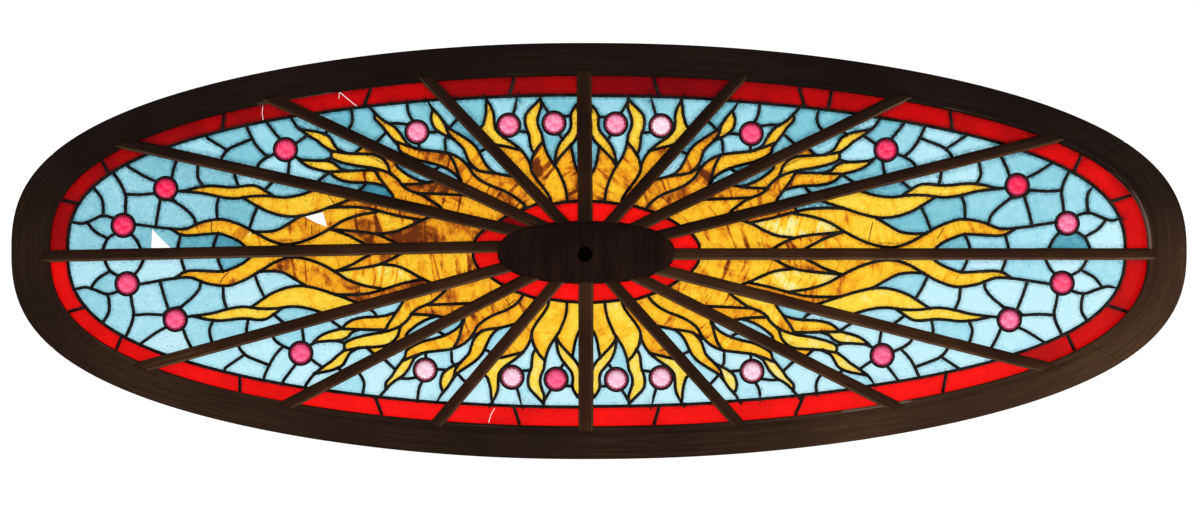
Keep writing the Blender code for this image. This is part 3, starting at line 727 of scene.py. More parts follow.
# the amber pieces of single lights that are unlike the rest
oddAmber = {
    2: ((550, 750, 0.36, 0.3),),
    3: ((250, 350, 0.56, 1.1), (500, 770, 0.52, 0.8)),
    5: ((300, 750, 0.58, 1.0), (300, 420, 0.46, 1.1)),
    6: ((250, 350, 0.62, 1.2), (500, 350, 0.54, 0.9)),
    7: ((150, 500, 0.52, 1.2), (300, 700, 0.64, 1.2), (350, 420, 0.62, 1.3), (460, 420, 0.42, 1.2)),
    8: (
        (140, 500, 0.58, 1.0), (275, 575, 0.36, 1.4), (270, 230, 0.7, 1.2), (300, 900, 0.66, 1.0),
        (420, 400, 0.44, 1.0), (500, 720, 0.36, 0.5), (630, 780, 0.34, 0.4), (580, 280, 0.42, 0.6),
    ),
    9: ((420, 400, 0.54, 1.1), (300, 900, 0.76, 0.8), (270, 230, 0.56, 0.9)),
    12: ((300, 420, 0.36, 0.6), (300, 750, 0.3, 0.4)),
    13: ((300, 420, 0.3, 0.5), (300, 750, 0.38, 0.6)),
    14: ((250, 750, 0.5, 0.7), (250, 350, 0.52, 0.8)),
    15: ((150, 500, 0.52, 1.1), (350, 420, 0.36, 0.8)),
    16: ((300, 900, 0.76, 0.8), (420, 400, 0.42, 0.7)),
}
# blue pieces that are deeper than the rest, and how light they are
deepBlues = {
    1: ((500, 455, 0.36), (590, 575, 0.4), (526, 915, 0.3), (830, 105, 0.1), (600, 155, 0.4)),
    2: ((628, 255, 0.4), (488, 280, 0.34)),
    6: ((680, 295, 0.12), (414, 25, 0.05)),
    7: ((372, 160, 0.02), (450, 260, 0.1)),
    8: ((592, 145, 0.1), (652, 165, 0.22), (532, 85, 0.2)),
    9: ((602, 145, 0.3),),
}
# pieces that have broken out, open cracks, and dark marks: hairline cracks and one brown mend
lostGlass = {
    8: (((714, 50), (762, 55), (764, 270), (740, 165)), ((374, 435), (402, 485), (438, 570), (408, 675))),
}
cracks = {
    6: (((898, 390), (950, 402), (1000, 415)), ((962, 355), (1000, 412))),
    7: (((900, 750), (950, 825), (995, 897)),),
    8: (((544, 225), (536, 280)),),
    12: (((896, 325), (940, 322), (994, 335)),),
}
hairlines = {
    1: (((434, 505), (410, 220)), ((552, 195), (574, 345))),
    8: (((636, 410), (628, 260)), ((446, 930), (408, 830)), ((410, 435), (400, 275))),
    9: (((628, 390), (618, 330), (600, 255)),),
    11: (((154, 245), (206, 580)), ((152, 465), (210, 520))),
}
mends = {8: (((580, 230), (568, 345), (544, 310), (546, 215), (558, 135)),)}
quarter = ("long", "middle", "broad", "upright")  # and then the same mirrored, all round

lightShape = {
    "side": 0.0035,  # from a bar's middle to the edge of the glass
    "cover": 0.009,  # how far the glass runs under the frame's inner edge
    "hubCover": 0.004,
    "bandWidth": 0.038,
    "bandDrift": 0.005,
    "rimSteps": {"long": 30, "middle": 14, "broad": 10, "upright": 8},
    "smoothness": 0.0003,
    "edgeLead": 0.0028,  # from the edge of the glass to the middle of the lead along it
    "solderReach": 0.012,  # a lead's end this near another one meets it
    "borderReach": 0.045,  # and one this near the border's lead runs on to it
}
# how far the leads have strayed, in millimetres right and up, at the three places between hub and frame
strayPlaces = (0.0, 0.25, 0.5, 0.85, 1.0)
strays = {
    1: ((1, 0), (6, 1), (8, 1)), 2: ((7, 0), (4, 0), (3, -1)), 3: ((0, -2), (-2, -4), (-4, -5)),
    4: ((4, 2), (2, -1), (1, -2)), 5: ((-1, 3), (0, 1), (0, 0)), 6: ((-12, 4), (-6, 1), (-3, 0)),
    7: ((-28, 8), (-17, 6), (-10, 2)), 8: ((-22, 0), (-20, 2), (-12, 1)),
    9: ((-8, 2), (-8, -1), (-8, -1)), 10: ((-1, 1), (1, 1), (0, 1)), 11: ((1, 2), (1, 3), (3, 3)),
    12: ((1, 1), (0, 1), (-1, 1)), 13: ((2, 0), (1, 0), (1, 1)), 14: ((6, -1), (3, 1), (3, 1)),
    15: ((13, -3), (8, -2), (6, -1)), 16: ((3, 1), (3, 1), (1, 1)),
}


class Light:
    def __init__(self, number, first, second, design, mirrored):
        self.number = number
        self.name = f"{number:02d}"
        self.first = first
        self.second = second
        self.design = design
        self.mirrored = mirrored
        self.hubSpan = (second.hubTurn - first.hubTurn) % math.tau
        self.rimSpan = (second.rimTurn - first.rimTurn) % math.tau
        drift = lightShape["bandDrift"] * math.cos(self.rimTurn(0.5))
        self.bandOval = lipOval.inset(lightShape["bandWidth"] + drift)

    def hubTurn(self, across):
        return self.first.hubTurn + across * self.hubSpan

    def rimTurn(self, across):
        return self.first.rimTurn + across * self.rimSpan

    def place(self, along, across):
        # the cartoon's place with its stray, which keeps to the bar's own direction beside a bar
        along, across = along / 1000, across / 1000
        if self.mirrored:
            across = 1 - across
        spot = hubOval.point(self.hubTurn(across)).lerp(lipOval.point(self.rimTurn(across)), along)
        moves = ((0, 0), *strays[self.number], (0, 0))
        moved = Vector([0.001 * np.interp(along, strayPlaces, [move[k] for move in moves]) for k in (0, 1)])
        bar = self.first if across < 0.5 else self.second
        share = max(0.0, min(1.0, 6 * across, 6 * (1 - across)))
        return spot + share * moved + (1 - share) * moved.dot(bar.direction) * bar.direction

    def places(self, spots):
        return [self.place(*spot) for spot in spots]

    def outline(self, sideIn=0.0, rimIn=0.0, hubIn=0.0):
        near = hubOval.inset(lightShape["hubCover"] - hubIn)
        far = frameInset(layout["railWidth"] - lightShape["cover"] + rimIn)
        side = lightShape["side"] + sideIn
        low = self.first.run(side, near, far)
        high = self.second.run(-side, near, far)
        steps = lightShape["rimSteps"][self.design]
        rim = [far.point(self.rimTurn((i + 0.5) / steps)) for i in range(steps)]
        hub = [near.point(self.hubTurn(1 - i / 4)) for i in range(1, 4)]
        return [low[0], low[1], *rim, high[1], high[0], *hub]

    def edgeLead(self, further=0.0):
        return self.outline(*[lightShape["edgeLead"] + further] * 3)

    def border(self, steps=24):
        edges = [bar.run(0.0, hubOval, self.bandOval)[1] for bar in (self.first, self.second)]
        start, end = (self.bandOval.turn(edge) for edge in edges)
        span = (end - start) % math.tau
        return [self.bandOval.point(start + span * i / steps) for i in range(steps + 1)]

    def toBorder(self, before, end, fromFrame):
        # where a lead through these two points meets the border's lead, if that is near its end
        ahead = (end - before).normalized()
        start = end - 0.08 * ahead
        if fromFrame:
            start, ahead = end + 0.05 * ahead, -ahead
        place = start + self.bandOval.crossing(start, ahead, 0.3) * ahead
        return place if (place - end).length < lightShape["borderReach"] else end


def smoothCurve(points, steps=10):
    if len(points) == 2:
        return list(points)
    ends = [2 * points[0] - points[1], *points, 2 * points[-1] - points[-2]]
    curve = []
    for a, b, c, d in zip(ends, ends[1:], ends[2:], ends[3:]):
        for i in range(steps):
            t = i / steps
            rise = (c - a) * t + (2 * a - 5 * b + 4 * c - d) * t**2 + (3 * b - a - 3 * c + d) * t**3
            curve.append(b + 0.5 * rise)
    return [*curve, points[-1]]


def simplified(points, tolerance):
    run = (points[-1] - points[0]).normalized()
    aside = [abs(run.cross(point - points[0])) for point in points]
    worst = max(range(len(points)), key=aside.__getitem__)
    if len(points) < 3 or aside[worst] < tolerance:
        return [points[0], points[-1]]
    return simplified(points[: worst + 1], tolerance)[:-1] + simplified(points[worst:], tolerance)


def nearest(line, point):
    places = []
    for a, b in zip(line, line[1:]):
        share = (point - a).dot(b - a) / max((b - a).length_squared, 1e-12)
        places.append(a.lerp(b, min(1.0, max(0.0, share))))
    return min(places, key=lambda place: (place - point).length)


def clearOf(line, middle, radius):
    # the line without the ends of it that run into a round jewel
    for _ in range(2):
        inside = [(point - middle).length < radius for point in line]
        first = inside.index(False) if inside[0] and False in inside else 0
        if first:
            start, away = line[first], line[first - 1] - line[first]
            k = 0
            while k < 20 and (start + away * k / 20 - middle).length >= radius:
                k += 1
            line = [start + away * (k / 20), *line[first:]]
        line = list(reversed(line))
    return line


def leadLines(light):
    # the border's lead first; then each lead, with its ends brought onto the lead that they meet
    drawn = (*leads[light.design], *extraLeads.get(light.number, ()))
    lines = [light.border()] + [smoothCurve(light.places(lead)) for lead in drawn]
    solder = []
    for lead, line in zip(drawn, lines[1:]):
        for end, before in ((0, 1), (-1, -2)):
            if lead[end][1] in (0, 1000) or lead[end][0] == 1000:
                continue
            places = [nearest(other, line[end]) for other in lines if other is not line]
            place = min(places, key=lambda at: (at - line[end]).length)
            if (place - line[end]).length > lightShape["solderReach"]:
                place = light.toBorder(line[before], line[end], lead[before][0] == 1000)
            line[end] = place
            solder.append(place)
    lines = [simplified(line, lightShape["smoothness"]) for line in lines]
    for middle in jewelPlaces(light):
        lines = [clearOf(line, middle, paneShape["jewelWidth"] / 2) for line in lines]
        solder = [spot for spot in solder if (spot - middle).length > paneShape["jewelWidth"] / 2]
    return lines, solder


def strip(line, width):
    edges = []
    for i, point in enumerate(line):
        before = (point - line[i - 1]).normalized() if i else None
        after = (line[i + 1] - point).normalized() if i + 1 < len(line) else None
        along = ((before or after) + (after or before)).normalized()
        lean = max(0.6, along.dot(after or before))
        aside = Vector((-along.y, along.x)) * (width / 2 / lean)
        edges.append((point - aside, point + aside))
    return [(a[0], b[0], b[1], a[1]) for a, b in zip(edges, edges[1:])]


def ringOf(middle, radius, sides):
    turns = [math.tau * i / sides for i in range(sides)]
    return [middle + radius * Vector((math.cos(turn), math.sin(turn))) for turn in turns]


lights = []
for i, bar in enumerate(bars):
    mirrored = i % 8 > 3
    design = quarter[7 - i % 8 if mirrored else i % 8]
    lights.append(Light(i + 1, bar, bars[(i + 1) % len(bars)], design, mirrored))


# Glass. Its UV map is where on its sheet each piece was cut, and two marks hold its shade and its streaks.
# The size beside a pattern is how big its spots are

glassLook = {
    "rippleSize": 0.011,
    "rippleHeight": 0.0006,
    "roughness": 0.22,
    "speckSize": 0.0045,
}


def sheetGlass(name, paint, dirtAndShadeColour, dirtAndShadeDepth, speckShade, ripple=1.0, roughness=1.0):
    # see-through glass with the slow waves of a rolled sheet, coloured by paint, with dirt by its leads and
    # painted shade beside its bars
    made, add, shader = newMaterial(name)
    sheet = add("UVMap", uv_map="sheet").outputs["UV"]
    marks = ("shade", "streak", "dirtAndShade")
    shade, streak, dirtAndShade = [add("Attribute", attribute_name=mark).outputs["Fac"] for mark in marks]
    tint = paint(add, sheet, shade, streak)
    patchyNoise = add("TexNoise", {"Vector": sheet, "Scale": 110.0, "Detail": 4.0, "Roughness": 0.7})  # 9 mm
    patchy = add("MapRange", (patchyNoise, 0.33, 0.67, 0.3, 2.0))
    # the film darkens the glass in patches, with dirt by the leads and painted shade by the bars
    patchyDirtAndShade = add("Math", (dirtAndShade, patchy), operation="MULTIPLY")
    dirtAndShadeAmount = add("Math", (patchyDirtAndShade, dirtAndShadeDepth), operation="MULTIPLY", use_clamp=True)
    dirtiedAndShaded = add("MixRGB", (dirtAndShadeAmount, tint, dirtAndShadeColour), blend_type="MULTIPLY")
    # specks of dirt, thick along the leads and rare away from them
    gritScale = 1 / glassLook["speckSize"]
    grit = add("TexNoise", {"Vector": sheet, "Scale": gritScale, "Detail": 3.0, "Roughness": 0.6})
    limit = add("MapRange", (dirtAndShade, 0.0, 1.0, 0.645, 0.48))
    over = add("Math", (grit, limit), operation="SUBTRACT")
    speck = add("MapRange", (over, 0.0, 0.05, 0.0, 0.62))
    withDirtAndShade = add("MixRGB", (speck, dirtiedAndShaded, speckShade))
    waves = add("TexNoise", {"Vector": sheet, "Scale": 1 / glassLook["rippleSize"]})
    bump = add("Bump", {"Height": waves, "Strength": 0.6 * ripple, "Distance": glassLook["rippleHeight"]})
    setInputs(shader, {"Base Color": withDirtAndShade, "Normal": bump, "Roughness": glassLook["roughness"] * roughness})
    setInputs(shader, {"IOR": 1.5, "Transmission Weight": 1.0})
    return made


def paintSky(add, sheet, shade, streak):
    # sky blue cathedral glass: pale and watery, greener and deeper in some sheets, with faint wisps in it
    cloudNoise = add("TexNoise", {"Vector": sheet, "Scale": 45.0, "Detail": 5.0, "Roughness": 0.62})  # 22 mm
    cloud = add("MapRange", (cloudNoise, 0.3, 0.7, -0.10, 0.10))
    tone = add("Math", (shade, cloud))
    blues = (0.0, "#4496ac"), (0.25, "#70bcce"), (0.5, "#8ccedd"), (0.75, "#a8e2f1"), (1.0, "#c6f1fc")
    return add("ValToRGB", (tone,), blues)


def paintFlame(add, sheet, shade, streak):
    # streaky amber: clear even yellow in the outer pieces; nearer the hub clouded and drawn across with
    # red-brown, with a few fine dark ticks
    clouds = {"Scale": 15.0, "Detail": 4.0, "Roughness": 0.55, "Distortion": 1.2}  # 67 mm
    cloudNoise = add("TexNoise", {"Vector": sheet, **clouds})
    cloud = add("MapRange", (cloudNoise, 0.47, 0.74, 0.0, 0.54))
    drawn = add("Mapping", {"Vector": sheet, "Scale": (75.0, 10.0, 1.0)})  # 13 by 100 mm
    strokeNoise = add("TexNoise", {"Vector": drawn, "Scale": 1.0, "Detail": 3.0, "Distortion": 0.5})
    strokes = add("MapRange", (strokeNoise, 0.54, 0.66, 0.0, 0.42))
    both = add("Math", (cloud, strokes))
    marked = add("Math", (both, streak), operation="MULTIPLY")
    mottleNoise = add("TexNoise", {"Vector": sheet, "Scale": 75.0, "Detail": 3.0, "Roughness": 0.6})  # 13 mm
    mottle = add("MapRange", (mottleNoise, 0.3, 0.7, -0.18, 0.03))
    base = add("Math", (shade, mottle))
    tone = add("Math", (base, marked))
    yellows = (0.02, "#fff09c"), (0.18, "#ffdf4a"), (0.4, "#ffc629")
    browns = (0.62, "#f5a31c"), (0.82, "#bd6414"), (1.0, "#6c2f0a")
    amber = add("ValToRGB", (tone,), (*yellows, *browns))
    scored = add("Mapping", {"Vector": sheet, "Scale": (330.0, 70.0, 1.0)})  # 3 by 14 mm
    tickNoise = add("TexNoise", {"Vector": scored, "Scale": 1.0, "Detail": 1.0})
    ticks = add("MapRange", (tickNoise, 0.66, 0.71, 0.0, 0.6))
    ticked = add("Math", (ticks, streak), operation="MULTIPLY", use_clamp=True)
    return add("MixRGB", (ticked, amber, "#6a3410"))


def paintRuby(add, sheet, shade, streak):
    # flashed ruby: an even deep red that turns to bright scarlet where the flash is thin
    cloudNoise = add("TexNoise", {"Vector": sheet, "Scale": 14.0, "Detail": 3.0})  # 71 mm
    cloud = add("MapRange", (cloudNoise, 0.3, 0.7, -0.10, 0.10))
    tone = add("Math", (shade, cloud))
    reds = (0.0, "#6e0008"), (0.35, "#990307"), (0.65, "#d00406"), (1.0, "#ff100c")
    return add("ValToRGB", (tone,), reds)


def paintJewel(add, sheet, shade, streak):
    # pressed pink glass, even in the middle and raspberry at its scalloped rim, partly the glass's own colour
    # and partly painted shade of the steep facets there; the sheet map holds the place on the jewel
    spot = add("SeparateXYZ", (sheet,))
    reach = add("VectorMath", (sheet,), operation="LENGTH").outputs["Value"]
    turn = add("Math", (spot.outputs["Y"], spot.outputs["X"]), operation="ARCTAN2")
    lobes = add("Math", (turn, 14.0), operation="MULTIPLY")
    lobe = add("Math", (lobes,), operation="COSINE")
    scallop = add("Math", (lobe, 0.03), operation="MULTIPLY")
    edge = add("Math", (reach, scallop))
    rim = add("MapRange", (edge, 0.70, 0.80, 0.0, 0.95))
    glowNoise = add("TexNoise", {"Vector": sheet, "Scale": 2.2, "Detail": 3.0})  # 10 mm
    glow = add("MapRange", (glowNoise, 0.3, 0.7, -0.16, 0.16))
    tone = add("Math", (shade, glow))
    pinks = (0.0, "#fff0f6"), (0.35, "#ffc0dc"), (0.65, "#ff6f9f"), (1.0, "#fa1c4e")
    pink = add("ValToRGB", (tone,), pinks)
    return add("MixRGB", (rim, pink, "#8a0e34"))


glasses = [
    sheetGlass("sky blue cathedral glass", paintSky, "#5f8b96", 0.75, "#41646d"),
    sheetGlass("streaky amber glass", paintFlame, "#b08040", 0.45, "#523012", ripple=1.2),
    sheetGlass("flashed ruby glass", paintRuby, "#905050", 0.7, "#42020a", ripple=0.8),
    sheetGlass("pressed pink jewel glass", paintJewel, "#b07080", 0.0, "#7a1c40", ripple=0.5, roughness=0.5),
]
glassKinds = {"sky": 0, "deep sky": 0, "flame": 1, "ruby": 2, "jewel": 3}

paneShape = {
    "heart": 0.0016,  # the gap that a lead leaves between two pieces
    "crack": 0.0013,
    "hairline": 0.0018,
    "hairlineTone": 1.05,
    "mendTone": 0.76,
    "markStreak": 0.2,
    "byHub": (30, 500),  # a place in the red piece beside the hub
    "smallest": 0.00004,  # square metres; less than that is left out
    "grimeReach": 0.0105,  # how far the dirt spreads from a lead
    "shadeReach": 0.017,  # how far the painted shade of its bars reaches into a light
    "tilt": 0.0035,  # no two pieces lie quite flat, but none is out by more than the slack
    "slack": 0.0003,
    "skin": 0.0002,  # how far each face of the glass is within its full thickness
    "sheetReach": 9,  # pieces are cut from as far out as this on their sheet, in metres
    "jewelWidth": 0.0435,
    "jewelRoom": 0.001,
    "ringReach": 0.0015,  # from a jewel's edge to the middle of the came round it
    "jewelSides": 12,
    # a jewel's rings, from its edge to its table: size, how far it stands out, whether it turns half a side
    "jewelRings": ((1.0, 0.0008, False), (0.86, 0.0035, True), (0.56, 0.007, True)),
}
# how bright the red border of each light is, at its first bar and at its second
borderTones = (
    (0.85, 0.58), (0.55, 0.55), (0.62, 0.45), (0.05, 0.33), (0.33, 0.40), (0.40, 0.65), (0.42, 0.36),
    (0.45, 0.30), (0.80, 0.85), (0.85, 0.88), (0.95, 0.92), (0.90, 0.92), (0.92, 0.95), (0.95, 0.95),
    (0.95, 0.9), (0.98, 0.05),
)
dirtyLights = {8: 0.17, 9: 0.08}  # the lights that have specks of dirt all over
darkHubs = {7: 0.28}  # how bright the red is beside the hub, where it is not as bright as elsewhere
# how deep the pink of each jewel is
jewelDepths = {
    1: (0.95, 0.6), 2: (0.9,), 3: (0.8,), 4: (0.5, 0.15), 5: (0.55, 0.58), 6: (0.52,), 7: (0.85,),
    8: (0.95, 0.92), 9: (0.75, 0.78), 10: (0.75,), 11: (0.2,), 12: (0.75, 0.25), 13: (0.3, 0.3), 14: (0.22,),
    15: (0.7,), 16: (0.62, 0.82),
}


def jewelPlaces(light):
    return light.places(jewelSpots[light.design])


def insideOf(polygon, spots):
    # which of the spots lie in a polygon, by the crossings of a line to the right of each
    within = np.zeros(len(spots), bool)
    for a, b in zip(polygon, [*polygon[1:], polygon[0]]):
        between = (a.y > spots[:, 1]) != (b.y > spots[:, 1])
        rise = b.y - a.y if b.y != a.y else 1.0
        within ^= between & (spots[:, 0] < a.x + (b.x - a.x) * (spots[:, 1] - a.y) / rise)
    return within


def distanceTo(lines, spots):
    # how far each of the spots is from the nearest of the lines
    near = np.full(len(spots), 1.0)
    for line in lines:
        for a, b in zip(line, line[1:]):
            run = np.array(b - a)
            off = spots - np.array(a)
            share = np.clip(off @ run / max(run @ run, 1e-12), 0, 1)
            near = np.minimum(near, np.linalg.norm(off - share[:, None] * run, axis=1))
    return near


def openingsOf(light, lines):
    # what is cut out of the glass: open cracks, lost pieces, places for the jewels and the leads' hearts
    openings = []
    for line in cracks.get(light.number, ()):
        openings += strip(light.places(line), paneShape["crack"])
    openings += [light.places(corners) for corners in lostGlass.get(light.number, ())]
    hole = paneShape["jewelWidth"] / 2 + paneShape["jewelRoom"]
    openings += [ringOf(middle, hole, 24) for middle in jewelPlaces(light)]
    return openings + [quad for line in lines for quad in strip(line, paneShape["heart"])]


def marksOf(light):
    # the dark marks on the glass, each with its tone
    marks = []
    for line in hairlines.get(light.number, ()):
        quads = strip(light.places(line), paneShape["hairline"])
        marks += [(quad, paneShape["hairlineTone"]) for quad in quads]
    return marks + [(light.places(corners), paneShape["mendTone"]) for corners in mends.get(light.number, ())]


def dirtAndShadeAt(light, lines, flat):
    # dirt lies beside the leads, and painted shade lies beside the bars as if they shadowed the glass; both
    # are heavier high up
    framed = light.edgeLead()
    besideLead = np.clip(1 - distanceTo(lines, flat) / paneShape["grimeReach"], 0, 1)
    # painted shade: the glass is darkened beside the bars, as in their shadow
    shadeBesideBar = np.clip(1 - distanceTo([[*framed, framed[0]]], flat) / paneShape["shadeReach"], 0, 1)
    height = (flat[:, 1] - frameOval.middle.y) / layout["halfHeight"]
    besideLead *= np.clip(0.8 + 0.6 * height, 0.5, 1)
    shadeBesideBar *= np.clip(0.6 + 0.9 * height, 0.2, 1)
    return np.maximum(np.maximum(besideLead, shadeBesideBar), dirtyLights.get(light.number, 0.0))


def joinedUp(triangles):
    # the triangles in groups, each of which is one piece of glass
    bySide = {}
    for i, tri in enumerate(triangles):
        for j in range(3):
            bySide.setdefault(frozenset((tri[j - 1], tri[j])), []).append(i)
    seen, groups = set(), []
    for i in range(len(triangles)):
        if i in seen:
            continue
        seen.add(i)
        group, queue = [], [i]
        while queue:
            tri = triangles[queue.pop()]
            group.append(tri)
            for j in range(3):
                others = [k for k in bySide[frozenset((tri[j - 1], tri[j]))] if k not in seen]
                seen.update(others)
                queue += others
        groups.append(group)
    return groups


def regionsOf(light):
    # the light's glass cut along its leads, as groups of triangles; how much dirt and painted shade it has at
    # each corner; and the triangles that are marked
    lines, _ = leadLines(light)
    outline, openings, marks = light.outline(), openingsOf(light, lines), marksOf(light)
    dirtAndShadeLines = [light.edgeLead(paneShape["shadeReach"])]
    for line in lines:
        quads = strip(line, 2 * paneShape["grimeReach"])
        dirtAndShadeLines += [[quads[0][near], *[quad[far] for quad in quads]] for near, far in ((0, 1), (3, 2))]
    points, edges = [], []
    closed = [[*polygon, polygon[0]] for polygon in (outline, *openings, *[polygon for polygon, _ in marks])]
    for line in closed + dirtAndShadeLines:
        edges += [(len(points) + i, len(points) + i + 1) for i in range(len(line) - 1)]
        points.extend(line)
    spots, _, triangles, *_ = delaunay_2d_cdt(points, edges, [], 0, 1e-6)
    flat = np.array(spots)
    middles = flat[np.array(triangles)].mean(axis=1)
    isGlass = insideOf(outline, middles)
    for polygon in openings:
        isGlass &= ~insideOf(polygon, middles)
    glass = [tuple(tri) for tri, keep in zip(triangles, isGlass) if keep]
    stained = {}
    for polygon, tone in reversed(marks):
        stained.update({glass[i]: tone for i in np.flatnonzero(insideOf(polygon, middles[isGlass]))})
    return spots, joinedUp(glass), dirtAndShadeAt(light, lines, flat), stained


def areaAndMiddle(spots, region):
    area, middle = 0.0, Vector((0, 0))
    for tri in region:
        a, b, c = (spots[k] for k in tri)
        part = abs((b - a).cross(c - a)) / 2
        area += part
        middle += part * (a + b + c) / 3
    return area, middle / max(area, 1e-12)


def kindOf(light, spots, region, middle):
    # the kind of glass that a piece is, and what the cartoon says of its tone and of its streaks
    def holds(along, across):
        spot = light.place(along, across)
        return any(intersect_point_tri_2d(spot, *(spots[k] for k in tri)) for tri in region)

    if not light.bandOval.holds(middle) or holds(*paneShape["byHub"]):
        return "ruby", ()
    for along, across, *look in (*oddAmber.get(light.number, ()), *amberSpots[light.design]):
        if holds(along, across):
            return "flame", look
    for along, across, *look in deepBlues.get(light.number, ()):
        if holds(along, across):
            return "deep sky", look
    return "sky", ()


def shadeOf(light, kind, look, middle):
    # the lower blue is paler, and so is the blue at the ends
    right = middle.x / layout["halfLength"]
    low = -(middle.y - frameOval.middle.y) / layout["halfHeight"]
    out = (middle - hubOval.middle).length / (lipOval.point(hubOval.turn(middle)) - hubOval.middle).length
    uneven = chance.uniform(-1, 1)
    if kind == "deep sky":
        return look[0], 0.0
    if kind == "sky":
        tone = 0.72 + 0.37 * low + 0.09 * right + 0.1 * abs(right) + 0.23 * uneven
        return (tone if out > 0.6 else tone - 0.03), 0.0
    if kind == "ruby" and out < 0.6:
        return darkHubs.get(light.number, 0.95) + 0.06 * uneven, 0.0
    if kind == "ruby":
        first, second = borderTones[light.number - 1]
        share = ((lipOval.turn(middle) - light.first.rimTurn + 1) % math.tau - 1) / light.rimSpan
        return first + (second - first) * share + 0.06 * uneven, 0.0
    brown, streaked = look
    return brown + 0.01 - 0.09 * low - 0.06 * right + 0.04 * uneven, streaked


def jewelMesh(middle, depth, turn):
    # a pressed jewel with facets; its sheet map holds the place on it
    radius, sides = paneShape["jewelWidth"] / 2, paneShape["jewelSides"]
    bm = bmesh.new()
    shade = bm.faces.layers.float.new("shade")
    sheet = bm.loops.layers.uv.new("sheet")
    bmesh.ops.create_circle(bm, segments=sides, radius=radius, cap_ends=True)
    edges = bm.edges[:]
    for share, rise, turned in paneShape["jewelRings"]:
        out = bmesh.ops.extrude_edge_only(bm, edges=edges)["geom"]
        edges = [thing for thing in out if isinstance(thing, bmesh.types.BMEdge)]
        ring = [thing for thing in out if isinstance(thing, bmesh.types.BMVert)]
        edges = [edge for edge in edges if all(vert in ring for vert in edge.verts)]
        spin = Matrix.Rotation(math.pi / sides if turned else 0, 2)
        for vert in ring:
            flat = Vector(vert.co.xy).normalized() * radius * share
            vert.co = (*(spin @ flat), layout["glassFront"] - layout["glassBack"] - rise)
    bmesh.ops.edgeloop_fill(bm, edges=edges)
    spin = Matrix.Rotation(turn, 3, "Z")
    for vert in bm.verts:
        spot = spin @ vert.co
        vert.co = (middle.x + spot.x, layout["glassBack"] + spot.z, middle.y + spot.y)
    for face in bm.faces:
        face.material_index = glassKinds["jewel"]
        face[shade] = depth
        for loop in face.loops:
            loop[sheet].uv = (loop.vert.co.x - middle.x) / radius, (loop.vert.co.z - middle.y) / radius
    bm.normal_update()
    bmesh.ops.recalc_face_normals(bm, faces=bm.faces[:])
    return meshOf("jewel", bm)


def leadedGlass(light):
    spots, regions, dirtAndShade, stained = regionsOf(light)
    bm = bmesh.new()
    sheet = bm.loops.layers.uv.new("sheet")
    piece = bm.faces.layers.int.new("piece")
    shade = bm.faces.layers.float.new("shade")
    streak = bm.faces.layers.float.new("streak")
    # each corner's mark holds dirt by the leads and painted shade by the bars
    withDirtAndShade = bm.verts.layers.float.new("dirtAndShade")
    slack, skin, far = paneShape["slack"], paneShape["skin"], paneShape["sheetReach"]
    cuts = []
    for region in regions:
        area, middle = areaAndMiddle(spots, region)
        if area < paneShape["smallest"]:
            continue
        kind, look = kindOf(light, spots, region, middle)
        tone, streaked = shadeOf(light, kind, look, middle)
        tilt = [chance.uniform(-1, 1) * paneShape["tilt"] for _ in range(2)]
        verts = {}
        for k in dict.fromkeys(k for tri in region for k in tri):
            off = spots[k] - middle
            lean = max(-slack, min(slack, off.x * tilt[0] + off.y * tilt[1]))
            verts[k] = bm.verts.new(inSpace(spots[k], layout["glassFront"] + skin + lean))
            verts[k][withDirtAndShade] = dirtAndShade[k]
        for tri in region:
            face = bm.faces.new([verts[k] for k in tri])
            face.material_index = glassKinds["flame" if tri in stained else kind]
            face[piece] = len(cuts)
            face[shade] = stained.get(tri, tone)
            face[streak] = paneShape["markStreak"] if tri in stained else streaked
        away = middle - hubOval.middle
        turn = math.atan2(away.y, away.x) + chance.uniform(-0.5, 0.5)
        cuts.append((turn, Vector((chance.uniform(-far, far), chance.uniform(-far, far)))))
    made = bmesh.ops.extrude_face_region(bm, geom=bm.faces[:])["geom"]
    moved = [thing for thing in made if isinstance(thing, bmesh.types.BMVert)]
    bmesh.ops.translate(bm, verts=moved, vec=(0, layout["glassBack"] - layout["glassFront"] - 2 * skin, 0))
    for face in bm.faces:
        turn, start = cuts[face[piece]]
        spin = Matrix.Rotation(-turn, 2)
        for loop in face.loops:
            loop[sheet].uv = start + spin @ Vector((loop.vert.co.x, loop.vert.co.z))
    bmesh.ops.recalc_face_normals(bm, faces=bm.faces[:])
    for middle, depth in zip(jewelPlaces(light), jewelDepths[light.number]):
        mesh = jewelMesh(middle, depth, chance.uniform(0, 1))
        bm.from_mesh(mesh)
        bpy.data.meshes.remove(mesh)
    # an extrude makes its sides in no fixed order, so the faces are put in order by their corners
    bm.verts.index_update()
    count = len(bm.verts)

    def byCorners(face):
        first, second, third = sorted(vert.index for vert in face.verts)[:3]
        return (first * count + second) * count + third

    bm.faces.sort(key=byCorners)
    addPiece("leadedGlass" + light.name, bm, glasses, ["glass_" + light.name], sharpDegrees=12)


for light in lights:
    leadedGlass(light)
print("glass cut and set")


# Lead cames

cameShape = {
    "width": 0.0064,
    "ringWidth": 0.0052,
    "flangeEdge": 0.0022,  # from the middle of the glass
    "crown": 0.0040,
    "heart": 0.0008,
    "glassMiddle": -0.0250,
    "solderWidth": 0.0082,
    "solderCrown": 0.0044,
    "solderSizes": (0.92, 1.1),
    "unevenness": 0.05,
}


